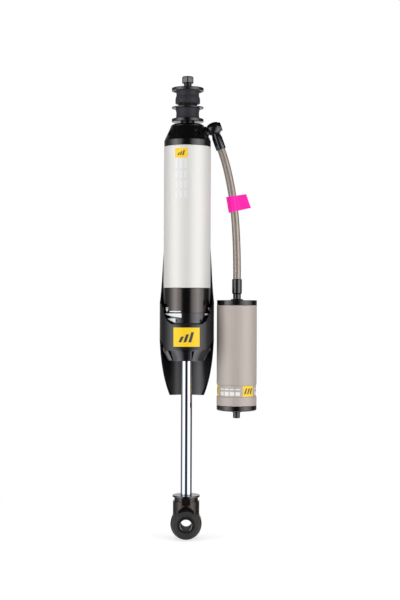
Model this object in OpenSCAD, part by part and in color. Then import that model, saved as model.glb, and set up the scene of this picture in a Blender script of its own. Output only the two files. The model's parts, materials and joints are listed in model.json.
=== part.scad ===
// Rear shock absorber with a pin top mount, an eye lower mount, two adjuster
// collars, a turning stone guard and a remote reservoir on a braided hose.
// Lengths are millimetres. The origin is the centre of the lower eye's bolt
// hole, +Z runs up the rod and +X points at the reservoir. -Y is the front.

/* [Lower eye] */
// Bolt hole through the inner sleeve
bolt_d = 18; // [14:0.5:20]
// Wall of the steel inner sleeve
sleeve_wall = 3.5; // [2.5:0.5:4]
// Length of the inner sleeve
sleeve_len = 46; // [42:1:48]
// Outside diameter of the eye ring
eye_d = 50; // [48:0.2:54]
// Wall of the eye ring
eye_wall = 5.5; // [4:0.5:6.5]
// Rounding of the eye ring's edges, towards the bore
ring_round_r = 4; // [1:0.5:4]
// Rounding of the eye ring's edges, along the bolt
ring_round_w = 7; // [1:0.5:10]
// Width of the eye ring along the bolt
eye_w = 34; // [30:1:35]
// Diameter of the rubber flanges beside the ring
flange_d = 42.4; // [41:0.2:44]
// Gap left between a rubber flange and the sleeve's end
flange_setback = 0.6; // [0.2:0.1:1]
// Diameter of the shank above the ring
shank_d = 42.4; // [40:0.2:46]
// Height of the shank's shoulder above the bolt
shank_h = 36.1; // [32:0.1:38]
// Diameter of the neck on the shank
neck_d = 38; // [32:0.5:40]
// Height of the neck
neck_h = 6.3; // [5:0.1:8]
// Width of the spanner slots in the neck
slot_w = 13; // [8:0.5:16]
// Height of the spanner slots
slot_h = 10.7; // [6:0.1:12]
// Distance between the floors of the spanner slots
slot_floors = 34.4; // [30:0.2:37]

/* [Rod] */
// Diameter of the chromed rod
rod_d = 18; // [16:1:20]
// Full travel of the rod
stroke = 200; // [150:5:210]
// Rod left outside the body at full compression
bump_room = 15; // [12:0.5:30]
// Diameter of the collar on the rod's foot
collar_d = 43.4; // [40:0.2:46]
// Thickness of the collar
collar_t = 3; // [2:0.5:5]
// Diameter of the rod's lower spigot
spigot_d = 16; // [12:0.5:16]
// Length of the spigot below the collar
spigot_len = 15.5; // [10:0.5:16]
// Diameter of the post that carries the piston
post_d = 12; // [10:0.5:14]

/* [Piston] */
// Width of a backing washer's face round the post
backing_w = 7; // [4:0.5:9]
// Gap between the largest shim and the cylinder
shim_gap = 3; // [1:0.5:6]
// Height of the piston
piston_h = 18; // [14:1:26]
// Thickness of one valve shim
shim_t = 0.5; // [0.3:0.1:0.8]
// Number of shims in each stack
shim_n = 4; // [2:1:6]
// Thickness of a backing washer
backing_t = 2.5; // [2:0.5:4]
// Height of the top-out bumper
bumper_h = 11; // [6:1:20]
// Width across flats of the piston nut
piston_nut_af = 19; // [17:1:22]
// Height of the piston nut
piston_nut_h = 10; // [8:1:12]

/* [Gland] */
// Diameter of the gland nut's lower end
gland_d = 60.6; // [56:0.2:66]
// Height of the gland nut's lower cylinder
gland_low_h = 1; // [0.5:0.5:6]
// Height of the gland nut's cone
gland_cone_h = 15; // [10:0.5:17]
// Height of the gland nut's top band
gland_band_h = 4.5; // [3:0.5:6]
// Number of spanner notches in the gland nut
gland_notches = 6; // [4:1:8]
// Width of a spanner notch at its foot
notch_w = 2.4; // [2:0.2:4]
// Width of a spanner notch at its head
notch_top_w = 6.4; // [4:0.2:8]
// Depth of a spanner notch at its foot
notch_depth = 0.8; // [0.4:0.2:2]
// Turn of the first notch from the reservoir's side
notch_turn = -16; // [-30:1:30]
// Height of the rod seal
seal_h = 8; // [6:0.5:12]
// Wall of the wiper round the rod
wiper_wall = 5; // [3:0.5:5]
// Wall of the seal round the rod
seal_wall = 7; // [4:0.5:8]
// Height of the wiper
wiper_h = 6; // [4:0.5:6]
// Height of the rod guide
guide_h = 13; // [10:0.5:20]
// Height of the rod guide's pilot inside the inner cylinder
pilot_h = 4; // [3:0.5:6]
// Height of the first row of bypass holes above the inner cylinder's foot
bypass_start = 70; // [50:5:90]
// Height between two rows of bypass holes
bypass_pitch = 30; // [15:5:40]
// Wall of the rod guide's bearing bush
bearing_wall = 1.4; // [1:0.1:2]

/* [Body] */
// Outside diameter of the body
body_d = 75; // [72:0.5:76]
// Wall of the body tube
body_wall = 3.5; // [3:0.1:4]
// Length of the body tube
body_len = 225.1; // [200:5:300]
// Height of the lower housing's thick part
base_h = 39.6; // [36:0.2:46]
// Wall of the housing's neck, under the adjuster collars
neck_wall = 4.9; // [4:0.1:5]
// Oil space between the neck and the inner cylinder
gallery_gap = 3; // [2:0.1:3.4]
// Wall of the inner cylinder
cylinder_wall = 3; // [2:0.5:3]
// Length of the thread between the housing and the body tube
joint_len = 18; // [14:1:30]
// Width of the groove that the guard runs in
groove_w = 6; // [5:0.5:8]
// Depth of the groove that the guard runs in
groove_depth = 1.7; // [1:0.1:3]
// Height of the groove above the housing's foot
groove_h = 17; // [14:0.5:20]

/* [Adjusters] */
// Height of one adjuster collar
ring_h = 7.8; // [6:0.2:10]
// Height of the sleeve above the collars
sleeve_h = 39.9; // [36:0.1:50]
// Diameter of a collar's spanner hole
ring_hole_d = 4; // [3:0.5:5]
// Number of spanner holes in a collar
ring_holes = 6; // [4:1:8]
// Diameter of the oil ports under a collar
port_hole_d = 4; // [3:0.5:5]

/* [Top cap] */
// Height of the cap's straight band
cap_band_h = 9.5; // [8:0.5:14]
// Height of the cap's cone
cap_cone_h = 23; // [20:0.5:26]
// Diameter at the top of the cap's cone
cap_cone_d = 54; // [50:0.2:60]
// Height of the cap's rounded shoulder
cap_crown_h = 4.6; // [3:0.2:6]
// Diameter of the cap's flat top
cap_top_d = 34; // [30:1:40]
// Diameter of the cap's spanner dimples
dimple_d = 10; // [6:0.5:12]
// Depth of the cap's spanner dimples
dimple_depth = 3; // [1:0.5:4]
// Number of spanner dimples round the cap
dimples = 4; // [2:1:4]
// Length of the cap's spigot in the body tube
cap_spigot_len = 16; // [14:1:24]

/* [Top mount] */
// Diameter of the stud's shank
stud_d = 16; // [14:0.5:18]
// Thread diameter of the stud
thread_d = 12; // [10:1:14]
// Diameter of the stud's shoulder
shoulder_d = 22; // [20:0.5:26]
// Height of the stud's shoulder
shoulder_h = 2.9; // [2.5:0.1:6]
// Diameter of the mount washers
washer_d = 51; // [48:0.5:56]
// Thickness of a dished washer
washer_t = 3.4; // [2:0.1:4]
// Height of a dished washer's turned rim
washer_lip = 1.6; // [0.8:0.1:2]
// Thickness of the flat washer
plate_t = 1.8; // [1.4:0.1:3]
// Diameter of the rubber bushes at their ends
bush_d = 40; // [38:0.2:42]
// Diameter of the rubber bushes at their waist
bush_waist_d = 36.8; // [34:0.2:38]
// Height of the lower bush
lower_bush_h = 18.5; // [14:0.1:24]
// Height of the upper bush
upper_bush_h = 21.4; // [16:0.2:26]
// Height of the upper bush's straight lip
upper_lip_h = 7; // [0:0.5:10]
// Diameter of the upper bush's spigot
bush_spigot_d = 30; // [26:0.5:34]
// Height of the upper bush's spigot
bush_spigot_h = 5.8; // [4:0.2:8]
// Length of the stud's root in the cap
stud_root_len = 16; // [12:0.5:18]
// Bare thread between the washer and the nut
thread_gap = 7.5; // [1:0.1:12]
// Width across flats of the top nut
nut_af = 18; // [17:1:20]
// Height of the top nut
nut_h = 11; // [10:0.5:14]

/* [Hose port] */
// Height of the port above the foot of the cap's cone
port_h = 15.8; // [12:0.2:18]
// Slope of the port above the level
port_tilt = 20; // [15:0.5:25]
// Diameter of the port boss
boss_d = 16.4; // [15:0.2:20]
// Height of the port boss above the cone, on its axis
boss_h = 1.8; // [0.6:0.1:3]
// Diameter of the banjo's eye
banjo_d = 21; // [19:0.2:23]
// Length of the banjo's eye
banjo_len = 17.6; // [14:0.2:18]
// Rounding of the banjo's corners
banjo_round = 5; // [1:0.5:5]
// Diameter of the banjo bolt
banjo_bolt_d = 10; // [8:0.5:11]
// Width across flats of the banjo bolt's head
banjo_af = 14; // [13:0.5:17]
// Height of the banjo bolt's head
banjo_head_h = 3.6; // [3:0.2:8]
// Thickness of a banjo sealing washer
seal_washer_t = 1; // [0.8:0.1:2]
// Diameter of the upper ferrule
upper_ferrule_d = 16.2; // [15:0.1:18]
// Reach of the upper ferrule from the port's axis
ferrule_reach = 34.8; // [32:0.1:36]

/* [Reservoir] */
// Gap between the guard and the reservoir
reservoir_gap = 4.5; // [3.5:0.5:14]
// Outside diameter of the reservoir
reservoir_d = 64; // [58:0.5:64]
// Wall of the reservoir tube
reservoir_wall = 4; // [3:0.5:5]
// Length of the reservoir tube
reservoir_len = 159.5; // [140:0.5:200]
// Height of the reservoir's foot above the lower bolt
reservoir_z = 180.9; // [150:0.1:200]
// Thickness of the reservoir's lower cap
bottom_cap_t = 8.5; // [7:0.5:12]
// Thickness of the reservoir's upper cap
top_cap_t = 8.2; // [7:0.1:12]
// Length of the caps' spigots in the tube
cap_plug_len = 14; // [12:1:18]
// Height of the label groove above the tube's foot
label_h = 14.1; // [10:0.1:30]
// Width of the label groove
label_w = 19.2; // [12:0.2:40]
// Depth of the label groove
label_depth = 1.4; // [0.8:0.1:1.6]
// Height of the floating piston
float_h = 22; // [18:1:30]
// Free room above the floating piston at rest
float_room = 8; // [4:1:20]
// Diameter of the fitting's flange
fitting_flange_d = 20; // [18:0.5:24]
// Thickness of the fitting's flange
fitting_flange_t = 1.8; // [1.5:0.1:4]
// Diameter of the fitting's neck
fitting_neck_d = 12.5; // [11:0.1:14]
// Height of the fitting's neck
fitting_neck_h = 7.8; // [6:0.2:12]
// Diameter of the lower ferrule
lower_ferrule_d = 15.7; // [14:0.1:18]
// Length of the lower ferrule
ferrule_len = 24; // [20:0.5:30]
// Diameter of the gas valve's flange
valve_flange_d = 15.4; // [13:0.2:18]
// Thickness of the gas valve's flange
valve_flange_t = 3; // [2:0.2:4]
// Diameter of the valve cap
valve_cap_d = 11.2; // [10:0.2:13]
// Height of the valve cap
valve_cap_h = 9.5; // [8:0.5:12]

/* [Hose] */
// Outside diameter of the braided hose
hose_d = 12.5; // [10:0.1:13]
// Width of the tape tag along the hose
tag_w = 24.5; // [18:0.5:30]
// Reach of the tag from the hose's axis
tag_reach = 24.5; // [16:0.5:30]
// Slack of the tag's loop round the hose
tag_slack = 0.7; // [0.3:0.1:0.9]
// Reach of the pinched tail on the loop's other side
tag_tail = 3; // [1:0.5:6]
// Thickness of the folded tag
tag_t = 0.8; // [0.6:0.1:1.5]

/* [Stone guard] */
// Drop of the yoke's foot below the lower housing
yoke_drop = 2.5; // [2:0.1:4.4]
// Gap between the guard and the body
guard_gap = 3; // [2.6:0.1:3.6]
// Wall of the guard
guard_wall = 3; // [2.6:0.1:3.4]
// Width of the slanted corner at the yoke's foot
corner_w = 12; // [8:0.5:14]
// Height of the slanted corner at the yoke's foot
corner_h = 16; // [12:0.5:18]
// Depth of the front yoke at its middle
yoke_h = 40.3; // [36:0.1:44]
// Half width of the yoke's window at its sill
window_half = 24; // [18:1:28]
// Rise of the guard's shoulders above the yoke's sill
shoulder_rise = 32.2; // [26:0.2:36]
// Drop of the rear shield below the yoke
shield_drop = 76; // [50:0.5:90]
// Half width of the shield's foot
shield_half = 28; // [20:1:34]
// Rise of the rear tail above the guard's shoulders
tail_rise = 112; // [60:1:140]
// Diameter of a guard screw
guard_screw_d = 5; // [4:0.5:5]
// Diameter of a guard screw's head
guard_head_d = 8; // [7:0.5:9]

/* [Badges] */
// Width of the guard's badge round its face
badge_w = 43; // [30:1:46]
// Height of the guard's badge
badge_h = 30.3; // [20:0.1:32]
// Width of the body's badge round its face
body_badge_w = 20.5; // [14:0.5:30]
// Height of the body's badge
body_badge_h = 15; // [10:0.5:24]
// Drop of the body's badge below the cap
badge_drop = 5.3; // [3:0.1:20]
// Thickness of a badge
badge_t = 0.4; // [0.3:0.1:0.8]

/* [Hidden] */
// Radial clearance of parts that are assembled together
fit = 0.05;
// Radial clearance of parts that slide or turn on each other
run = 0.05;
// End clearance of parts that turn past each other
end_gap = 0.1;
// Clearance of parts that pass each other freely
free = 0.3;
$fn = 96;

// Heights up the shock, from the bolt hole
neck_z = shank_h;
collar_z = neck_z + neck_h;
rod_z = collar_z + collar_t;
gland_z = rod_z + stroke + bump_room;
gland_h = gland_low_h + gland_cone_h + gland_band_h;
base_z = gland_z + gland_h;
neck_base_z = base_z + base_h;
ring1_z = neck_base_z + end_gap;
ring2_z = ring1_z + ring_h + end_gap;
sleeve_z = ring2_z + ring_h + end_gap;
tube_z = sleeve_z + sleeve_h;
cap_z = tube_z + body_len;
cone_z = cap_z + cap_band_h;
crown_z = cone_z + cap_cone_h;
shoulder_z = crown_z + cap_crown_h;
washer1_z = shoulder_z + shoulder_h;
bush1_z = washer1_z + washer_t;
plate_z = bush1_z + lower_bush_h;
spigot_z = plate_z + plate_t;
bush2_z = spigot_z + bush_spigot_h;
washer2_z = bush2_z + upper_bush_h;
nut_z = washer2_z + washer_t + thread_gap;

// Radii of the body's layers
body_r = body_d / 2;
tube_bore_r = body_r - body_wall;
joint_r = tube_bore_r - fit;
gallery_r = joint_r - neck_wall;
cylinder_r = gallery_r - gallery_gap;
bore_r = cylinder_r - cylinder_wall;
cylinder_seat_r = cylinder_r + fit;
guide_seat_r = gallery_r + 1;
guide_r = guide_seat_r - fit;
rod_r = rod_d / 2;
rod_hole_r = rod_r + 0.6;
cap_r = body_r - 0.2;

// Inner stack, from the gland nut up
wiper_floor = 1.5;
seal_z = base_z;
guide_z = seal_z + seal_h;
cylinder_z = guide_z + guide_h;
bumper_z = cylinder_z + pilot_h + 0.5;
backing_z = bumper_z + bumper_h;
shims1_z = backing_z + backing_t;
piston_z = shims1_z + shim_n * shim_t;
shims2_z = piston_z + piston_h;
backing2_z = shims2_z + shim_n * shim_t;
piston_nut_z = backing2_z + backing_t;
post_top_z = piston_nut_z + piston_nut_h + 2.5;
cap_foot_z = cap_z - cap_spigot_len;
cylinder_pocket = 6;
cylinder_top_z = cap_foot_z + cylinder_pocket;

// Hose port, in its own frame at the middle of the banjo's eye
cone_r = function (h) cap_r - (cap_r - cap_cone_d / 2) * h / cap_cone_h;
banjo_half = banjo_len - 8;
port_len = boss_h + seal_washer_t + banjo_half;
elbow_x = cone_r(port_h) + port_len * cos(port_tilt);
elbow_z = cone_z + port_h + port_len * sin(port_tilt);
banjo_tip = banjo_len - banjo_half;
banjo_head_x = banjo_tip + seal_washer_t;

// Heights up the reservoir
reservoir_r = reservoir_d / 2;
reservoir_bore_r = reservoir_r - reservoir_wall;
reservoir_x = body_r + guard_gap + guard_wall + reservoir_gap + reservoir_r;
reservoir_tube_z = reservoir_z + bottom_cap_t;
reservoir_cap_z = reservoir_tube_z + reservoir_len;
fitting_z = reservoir_cap_z + top_cap_t;
fitting_neck_z = fitting_z + fitting_flange_t;
ferrule_z = fitting_neck_z + fitting_neck_h;
float_z = reservoir_cap_z - cap_plug_len - float_room - float_h;
fitting_bore_r = 6;
valve_bore_r = 5;

// Heights of the guard
groove_z = base_z + groove_h;
yoke_z = base_z - yoke_drop;
sill_z = yoke_z + yoke_h;
shoulder_top_z = sill_z + shoulder_rise;
shield_z = yoke_z - shield_drop;
tail_z = shoulder_top_z + tail_rise;
guard_bore_r = body_r + guard_gap;
guard_r = guard_bore_r + guard_wall;
guard_head_z = guard_r - 1.6;
corner_z = yoke_z + corner_h;
badge_z = yoke_z + 5.2;
screw_heights = [sill_z - 6, sill_z + 19];
tab_in_r = body_r + 2 * free;
screw_turn = 8;
tab_turn = 16;

// Route of the hose, [x, z], from the upper ferrule to the lower one
hose_route = [
    [53.8, 598.2], [57.4, 587.8], [61.2, 575.4], [64.4, 562.9], [67.2, 550.4], [69.7, 537.9],
    [71.9, 525.4], [73.7, 512.9], [75.2, 500.4], [76.5, 487.9], [77.5, 474.9], [78.3, 461.9],
    [78.9, 448.9], [79.4, 435.9], [79.7, 423.9], [79.9, 411.9], [80, 400.9], [80, 390.8]
];
hose_sides = 12;
tag_pos = [74.1, 510.4];
tag_lean = 10;

// Colours of the finishes
silver = "#d9d7d3";
warm_grey = "#b8ada7";
black = "#17161a";
satin_black = "#2e2f33";
rubber = "#343436";
chrome = "#dfe3e8";
steel = "#8d9096";
brass = "#b8924a";
yellow = "#ffd720";
pink = "#ff2fb4";

// A ring of square section, from z up
module ring(r_out, r_in, z, h) {
    translate([0, 0, z]) difference() {
        cylinder(r = r_out, h = h);
        translate([0, 0, -1]) cylinder(r = r_in, h = h + 2);
    }
}

// A plain round bar, from z up
module bar(r, z, h) {
    translate([0, 0, z]) cylinder(r = r, h = h);
}

// A seal of round section, lying level at height z
module o_ring(r_mid, r_wire, z) {
    translate([0, 0, z]) rotate_extrude() translate([r_mid, 0]) circle(r = r_wire, $fn = 32);
}

// A hexagon bar with its corners rounded off at the top
module hex_bar(af, h, chamfer) {
    corner_r = af / 2 / cos(30);
    intersection() {
        rotate([0, 0, 30]) cylinder(r = corner_r, h = h, $fn = 6);
        union() {
            cylinder(r = corner_r, h = h - chamfer);
            translate([0, 0, h - chamfer]) cylinder(r1 = corner_r, r2 = af / 2 - chamfer / 2, h = chamfer);
        }
    }
}

// A round bar along Y, centred on the origin
module cross_bar(r, len) {
    rotate([90, 0, 0]) cylinder(r = r, h = len, center = true);
}

// Part of a shell round the shock's axis: angle is measured from the front
module shell_patch(r_out, r_in, z, h, turn, half_turn) {
    far = 2 * r_out;
    intersection() {
        ring(r_out, r_in, z, h);
        rotate([0, 0, turn - 90]) translate([0, 0, z - 1]) linear_extrude(h + 2)
            polygon([[0, 0], [far, -far * tan(half_turn)], [far, far * tan(half_turn)]]);
    }
}

// ---- Rod and lower eye ----

module lower_eye() {
    ring_bore_r = eye_d / 2 - eye_wall;
    pocket_depth = shank_d / 2 - eye_w / 2;
    pocket_flare = 4;
    color(satin_black) difference() {
        union() {
            rotate([90, 0, 0]) rotate_extrude() ring_section();
            bar(shank_d / 2, 0, shank_h);
            bar(neck_d / 2, neck_z - 1, neck_h + 1);
        }
        for (side = [-1, 1])
            translate([-slot_w / 2, side * (slot_floors / 2 + 5) - 5, collar_z - slot_h])
                cube([slot_w, 10, slot_h + 1]);
        cross_bar(ring_bore_r, 2 * eye_w);
        for (side = [0, 180])
            rotate([90, 0, side]) translate([0, 0, eye_w / 2])
                cylinder(r1 = eye_d / 2 - 0.2, r2 = eye_d / 2 + pocket_flare, h = pocket_depth + 0.2);
        bar(spigot_d / 2 + fit, collar_z - spigot_len, spigot_len + 1);
    }
}

// Half section of the eye ring, solid to its axis: its outer edges are well rounded
module ring_section() {
    steps = 8;
    edge = [for (i = [0:steps]) let (a = 90 * i / steps)
        [eye_d / 2 - ring_round_r * (1 - cos(a)), eye_w / 2 - ring_round_w * (1 - sin(a))]];
    far_edge = [for (i = [steps:-1:0]) [edge[i][0], -edge[i][1]]];
    polygon(concat([[0, -eye_w / 2]], far_edge, edge, [[0, eye_w / 2]]));
}

module eye_bush() {
    bush_r = eye_d / 2 - eye_wall - fit;
    sleeve_r = bolt_d / 2 + sleeve_wall;
    flange_t = (sleeve_len - eye_w) / 2 - flange_setback;
    color(rubber) difference() {
        union() {
            cross_bar(bush_r, eye_w + 0.2);
            for (side = [-1, 1])
                translate([0, side * (eye_w / 2 + fit + flange_t / 2), 0]) cross_bar(flange_d / 2, flange_t);
        }
        cross_bar(sleeve_r + fit, 2 * eye_w);
    }
}

module eye_sleeve() {
    color(steel) difference() {
        cross_bar(bolt_d / 2 + sleeve_wall, sleeve_len);
        cross_bar(bolt_d / 2, sleeve_len + 2);
    }
}

module rod_collar() {
    color(satin_black) ring(collar_d / 2, spigot_d / 2 + fit, collar_z, collar_t);
}

module piston_rod() {
    color(chrome) {
        bar(spigot_d / 2, collar_z - spigot_len + 0.3, spigot_len + collar_t - 0.3);
        bar(rod_r, rod_z, backing_z - rod_z);
        bar(post_d / 2, backing_z, post_top_z - backing_z);
    }
}

module top_out_bumper() {
    color(rubber) ring(rod_r + 8, rod_r + fit, bumper_z, bumper_h);
}

// A stack of shims that grows from small_r to large_r away from its start
module shim_stack(z, small_r, large_r) {
    step = (large_r - small_r) / shim_n;
    for (i = [0:shim_n - 1])
        ring(small_r + step * (i + 1), post_d / 2 + fit, z + i * shim_t, shim_t);
}

module rebound_shims() {
    color(steel) {
        ring(post_d / 2 + backing_w, post_d / 2 + fit, backing_z, backing_t);
        shim_stack(shims1_z, post_d / 2 + backing_w, bore_r - shim_gap);
    }
}

module compression_shims() {
    color(steel) {
        ring(post_d / 2 + backing_w, post_d / 2 + fit, backing2_z, backing_t);
        translate([0, 0, 2 * shims2_z + shim_n * shim_t]) mirror([0, 0, 1])
            shim_stack(shims2_z, post_d / 2 + backing_w, bore_r - shim_gap);
    }
}

module piston() {
    band_h = piston_h / 2;
    port_ring_r = (post_d / 2 + bore_r) / 2;
    color(steel) difference() {
        bar(bore_r - 0.5, piston_z, piston_h);
        bar(post_d / 2 + fit, piston_z - 1, piston_h + 2);
        ring(body_r, bore_r - 2, piston_z + band_h / 2, band_h);
        for (i = [0:5])
            rotate([0, 0, 60 * i]) translate([port_ring_r, 0, 0]) bar(2.5, piston_z - 1, piston_h + 2);
    }
}

module piston_band() {
    band_h = piston_h / 2;
    color(brass) ring(bore_r - run, bore_r - 2 + fit, piston_z + band_h / 2 + fit, band_h - 2 * fit);
}

module piston_nut() {
    color(steel) difference() {
        translate([0, 0, piston_nut_z]) hex_bar(piston_nut_af, piston_nut_h, 1.5);
        bar(post_d / 2 + fit, piston_nut_z - 1, piston_nut_h + 2);
    }
}

// ---- Gland and lower housing ----

module gland_nut() {
    low_r = gland_d / 2;
    band_r = body_r + 0.5;
    notch_h = gland_low_h + gland_cone_h;
    wiper_r = rod_r + wiper_wall;
    color(black) difference() {
        union() {
            bar(low_r, gland_z, gland_low_h);
            translate([0, 0, gland_z + gland_low_h]) cylinder(r1 = low_r, r2 = band_r, h = gland_cone_h);
            bar(band_r, base_z - gland_band_h, gland_band_h);
            bar(guide_r, base_z - 1, seal_h + 1);
        }
        bar(rod_hole_r, gland_z - 1, gland_h + seal_h + 2);
        bar(wiper_r, gland_z + wiper_floor, wiper_h);
        bar(rod_r + seal_wall, seal_z, seal_h + 1);
        for (i = [0:gland_notches - 1])
            rotate([90, 0, notch_turn + 90 + 360 / gland_notches * i]) translate([0, gland_z, low_r - notch_depth])
                linear_extrude(band_r - low_r + notch_depth + 1)
                    polygon([[-notch_w / 2, -1], [notch_w / 2, -1], [notch_top_w / 2, notch_h], [-notch_top_w / 2, notch_h]]);
    }
}

module rod_wiper() {
    color(rubber) ring(rod_r + wiper_wall - fit, rod_r + run, gland_z + wiper_floor + fit, wiper_h - 2 * fit);
}

module rod_seal() {
    color(rubber) ring(rod_r + seal_wall - fit, rod_r + run, seal_z + fit, seal_h - 2 * fit);
}

module rod_guide() {
    groove_r = guide_r - 2.4;
    bearing_r = rod_r + run + bearing_wall;
    color(silver) difference() {
        union() {
            bar(guide_r, guide_z, guide_h);
            bar(bore_r - fit, cylinder_z - 1, pilot_h + 1);
        }
        bar(bearing_r + fit, guide_z - 1, guide_h + pilot_h + 2);
        ring(guide_r + 5, groove_r, guide_z + guide_h / 2 - 1.3, 2.6);
    }
}

module guide_bearing() {
    color(brass) ring(rod_r + run + bearing_wall, rod_r + run, guide_z + fit, guide_h + pilot_h - fit);
}

module guide_seal() {
    color(rubber) o_ring(guide_r - 1.2, 1.15, guide_z + guide_h / 2);
}

module lower_housing() {
    port_z = [ring1_z + ring_h / 2, ring2_z + ring_h / 2];
    neck_len = tube_z + joint_len - neck_base_z;
    color(black) difference() {
        union() {
            bar(body_r, base_z, base_h);
            bar(joint_r, neck_base_z - 1, neck_len + 1);
        }
        bar(guide_seat_r, base_z - 1, seal_h + guide_h + 1);
        bar(cylinder_seat_r, base_z, base_h + neck_len + 1);
        bar(gallery_r, cylinder_z + 12, base_h + neck_len);
        ring(body_r + 5, body_r - groove_depth, groove_z, groove_w);
        for (z = port_z, i = [0:3])
            rotate([0, 0, 90 * i + 45]) translate([0, 0, z]) rotate([0, 90, 0])
                translate([0, 0, gallery_r - 1]) cylinder(r = port_hole_d / 2, h = neck_wall + 2);
    }
}

module inner_cylinder() {
    bypass_z = [for (i = [0:4]) cylinder_z + bypass_start + bypass_pitch * i];
    color(steel) difference() {
        ring(cylinder_r, bore_r, cylinder_z, cylinder_top_z - cylinder_z - fit);
        for (z = bypass_z, i = [0:3])
            translate([0, 0, z]) rotate([0, 90, 90 * i + 22.5])
                cylinder(r = 2.5, h = 2 * cylinder_r);
    }
}

// ---- Adjusters ----

// A collar that turns on the housing's neck, with spanner holes round it
module adjuster_ring(z, first_turn) {
    difference() {
        ring(body_r, joint_r + run, z, ring_h);
        for (i = [0:ring_holes - 1])
            rotate([0, 0, first_turn + 360 / ring_holes * i]) translate([body_r - 2.2, 0, z + ring_h / 2])
                rotate([0, 90, 0]) cylinder(r = ring_hole_d / 2, h = 5);
    }
}

module compression_adjuster() {
    color(black) adjuster_ring(ring1_z, 5);
}

module rebound_adjuster() {
    color(black) adjuster_ring(ring2_z, 35);
}

module adjuster_sleeve() {
    color(black) ring(body_r, joint_r + fit, sleeve_z, sleeve_h);
}

// ---- Body and top cap ----

module body_tube() {
    color(silver) ring(body_r, tube_bore_r, tube_z, body_len);
}

module body_badge() {
    half_turn = body_badge_w / 2 / body_r * 180 / PI;
    color(yellow) shell_patch(body_r + fit + badge_t, body_r + fit, cap_z - badge_drop - body_badge_h, body_badge_h, -15, half_turn);
}

// Everything on the port's axis: +X points out of the cap, -Z down the ferrule
module at_elbow() {
    translate([elbow_x, 0, elbow_z]) rotate([0, -port_tilt, 0]) children();
}

module top_cap() {
    root_r = shoulder_d / 2 - 1;
    chamber_h = 14;
    slope = atan2(cap_r - cap_cone_d / 2, cap_cone_h);
    dimple_h = cap_cone_h / 2;
    passage_len = cone_r(port_h);
    seal_groove_z = cap_foot_z + cap_spigot_len / 2 - 1.3;
    color(black) difference() {
        union() {
            bar(joint_r, cap_foot_z, cap_spigot_len + 1);
            bar(cap_r, cap_z, cap_band_h);
            translate([0, 0, cone_z]) cylinder(r1 = cap_r, r2 = cap_cone_d / 2, h = cap_cone_h);
            translate([0, 0, crown_z]) rotate_extrude() cap_crown();
            at_elbow() translate([-port_len - 8, 0, 0]) rotate([0, 90, 0])
                cylinder(r = boss_d / 2, h = 8 + boss_h);
        }
        bar(cylinder_seat_r, cap_foot_z - 1, cylinder_pocket + 1);
        bar(cylinder_r - 5, cap_foot_z, cap_spigot_len + chamber_h);
        bar(root_r, shoulder_z - stud_root_len, stud_root_len + 1);
        ring(cap_r, joint_r - 2.4, seal_groove_z, 2.6);
        at_elbow() translate([-port_len - 14, 0, 0]) rotate([0, 90, 0])
            cylinder(r = banjo_bolt_d / 2 + fit, h = 14 + 2 * boss_h + 4);
        at_elbow() translate([-port_len - passage_len, 0, 0]) rotate([0, 90, 0])
            cylinder(r = 2.5, h = passage_len);
        for (i = [0:dimples - 1])
            rotate([0, 0, 360 / dimples * i - 60]) translate([cone_r(dimple_h), 0, cone_z + dimple_h])
                rotate([0, 90 - slope, 0]) translate([0, 0, -dimple_depth])
                    cylinder(r = dimple_d / 2, h = dimple_depth + dimple_d / 2);
    }
}

// Half section of the cap's crown: a flat top with a round shoulder
module cap_crown() {
    foot_r = cap_cone_d / 2;
    top_r = cap_top_d / 2;
    steps = 8;
    arc = [for (i = [0:steps]) let (a = 90 * i / steps)
        [top_r + (foot_r - top_r) * cos(a), cap_crown_h * sin(a)]];
    polygon(concat([[0, 0]], arc, [[0, cap_crown_h]]));
}

module top_cap_seal() {
    color(rubber) o_ring(joint_r - 1.2, 1.15, cap_foot_z + cap_spigot_len / 2);
}

module top_stud() {
    color(black) {
        bar(shoulder_d / 2 - 1 - fit, shoulder_z - stud_root_len + fit, stud_root_len);
        bar(shoulder_d / 2, shoulder_z, shoulder_h);
        bar(stud_d / 2, washer1_z, washer2_z - washer1_z);
        bar(thread_d / 2, washer2_z, nut_z + nut_h - washer2_z - 0.5);
    }
}

// A washer with its rim turned up, from z up
module dished_washer(hole_r) {
    rim_w = 3;
    ring(washer_d / 2, hole_r, 0, washer_t);
    ring(washer_d / 2, washer_d / 2 - rim_w, washer_t - 0.01, washer_lip);
}

module lower_washer() {
    color(black) translate([0, 0, washer1_z]) dished_washer(stud_d / 2 + fit);
}

module upper_washer() {
    color(black) translate([0, 0, washer2_z + washer_t]) mirror([0, 0, 1]) dished_washer(thread_d / 2 + fit);
}

module flat_washer() {
    color(black) ring(washer_d / 2, stud_d / 2 + fit, plate_z, plate_t);
}

// Half section of a rubber bush: a straight lip at its foot, then a hollow waist
module bush_section(h, lip_h = 0) {
    end_r = bush_d / 2;
    waist_r = bush_waist_d / 2;
    steps = 12;
    side = [for (i = [0:steps]) let (t = i / steps)
        [end_r - (end_r - waist_r) * sin(180 * t), lip_h + (h - lip_h) * t]];
    polygon(concat([[stud_d / 2 + fit, 0], [end_r, 0]], side, [[stud_d / 2 + fit, h]]));
}

module lower_bush() {
    color(rubber) translate([0, 0, bush1_z]) rotate_extrude() bush_section(lower_bush_h);
}

module upper_bush() {
    color(rubber) {
        translate([0, 0, bush2_z]) rotate_extrude() bush_section(upper_bush_h, upper_lip_h);
        ring(bush_spigot_d / 2, stud_d / 2 + fit, spigot_z, bush_spigot_h);
    }
}

module top_nut() {
    color(black) difference() {
        translate([0, 0, nut_z]) hex_bar(nut_af, nut_h, 1.2);
        bar(thread_d / 2 + fit, nut_z - 1, nut_h + 2);
    }
}

// ---- Hose port and hose ----

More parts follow.
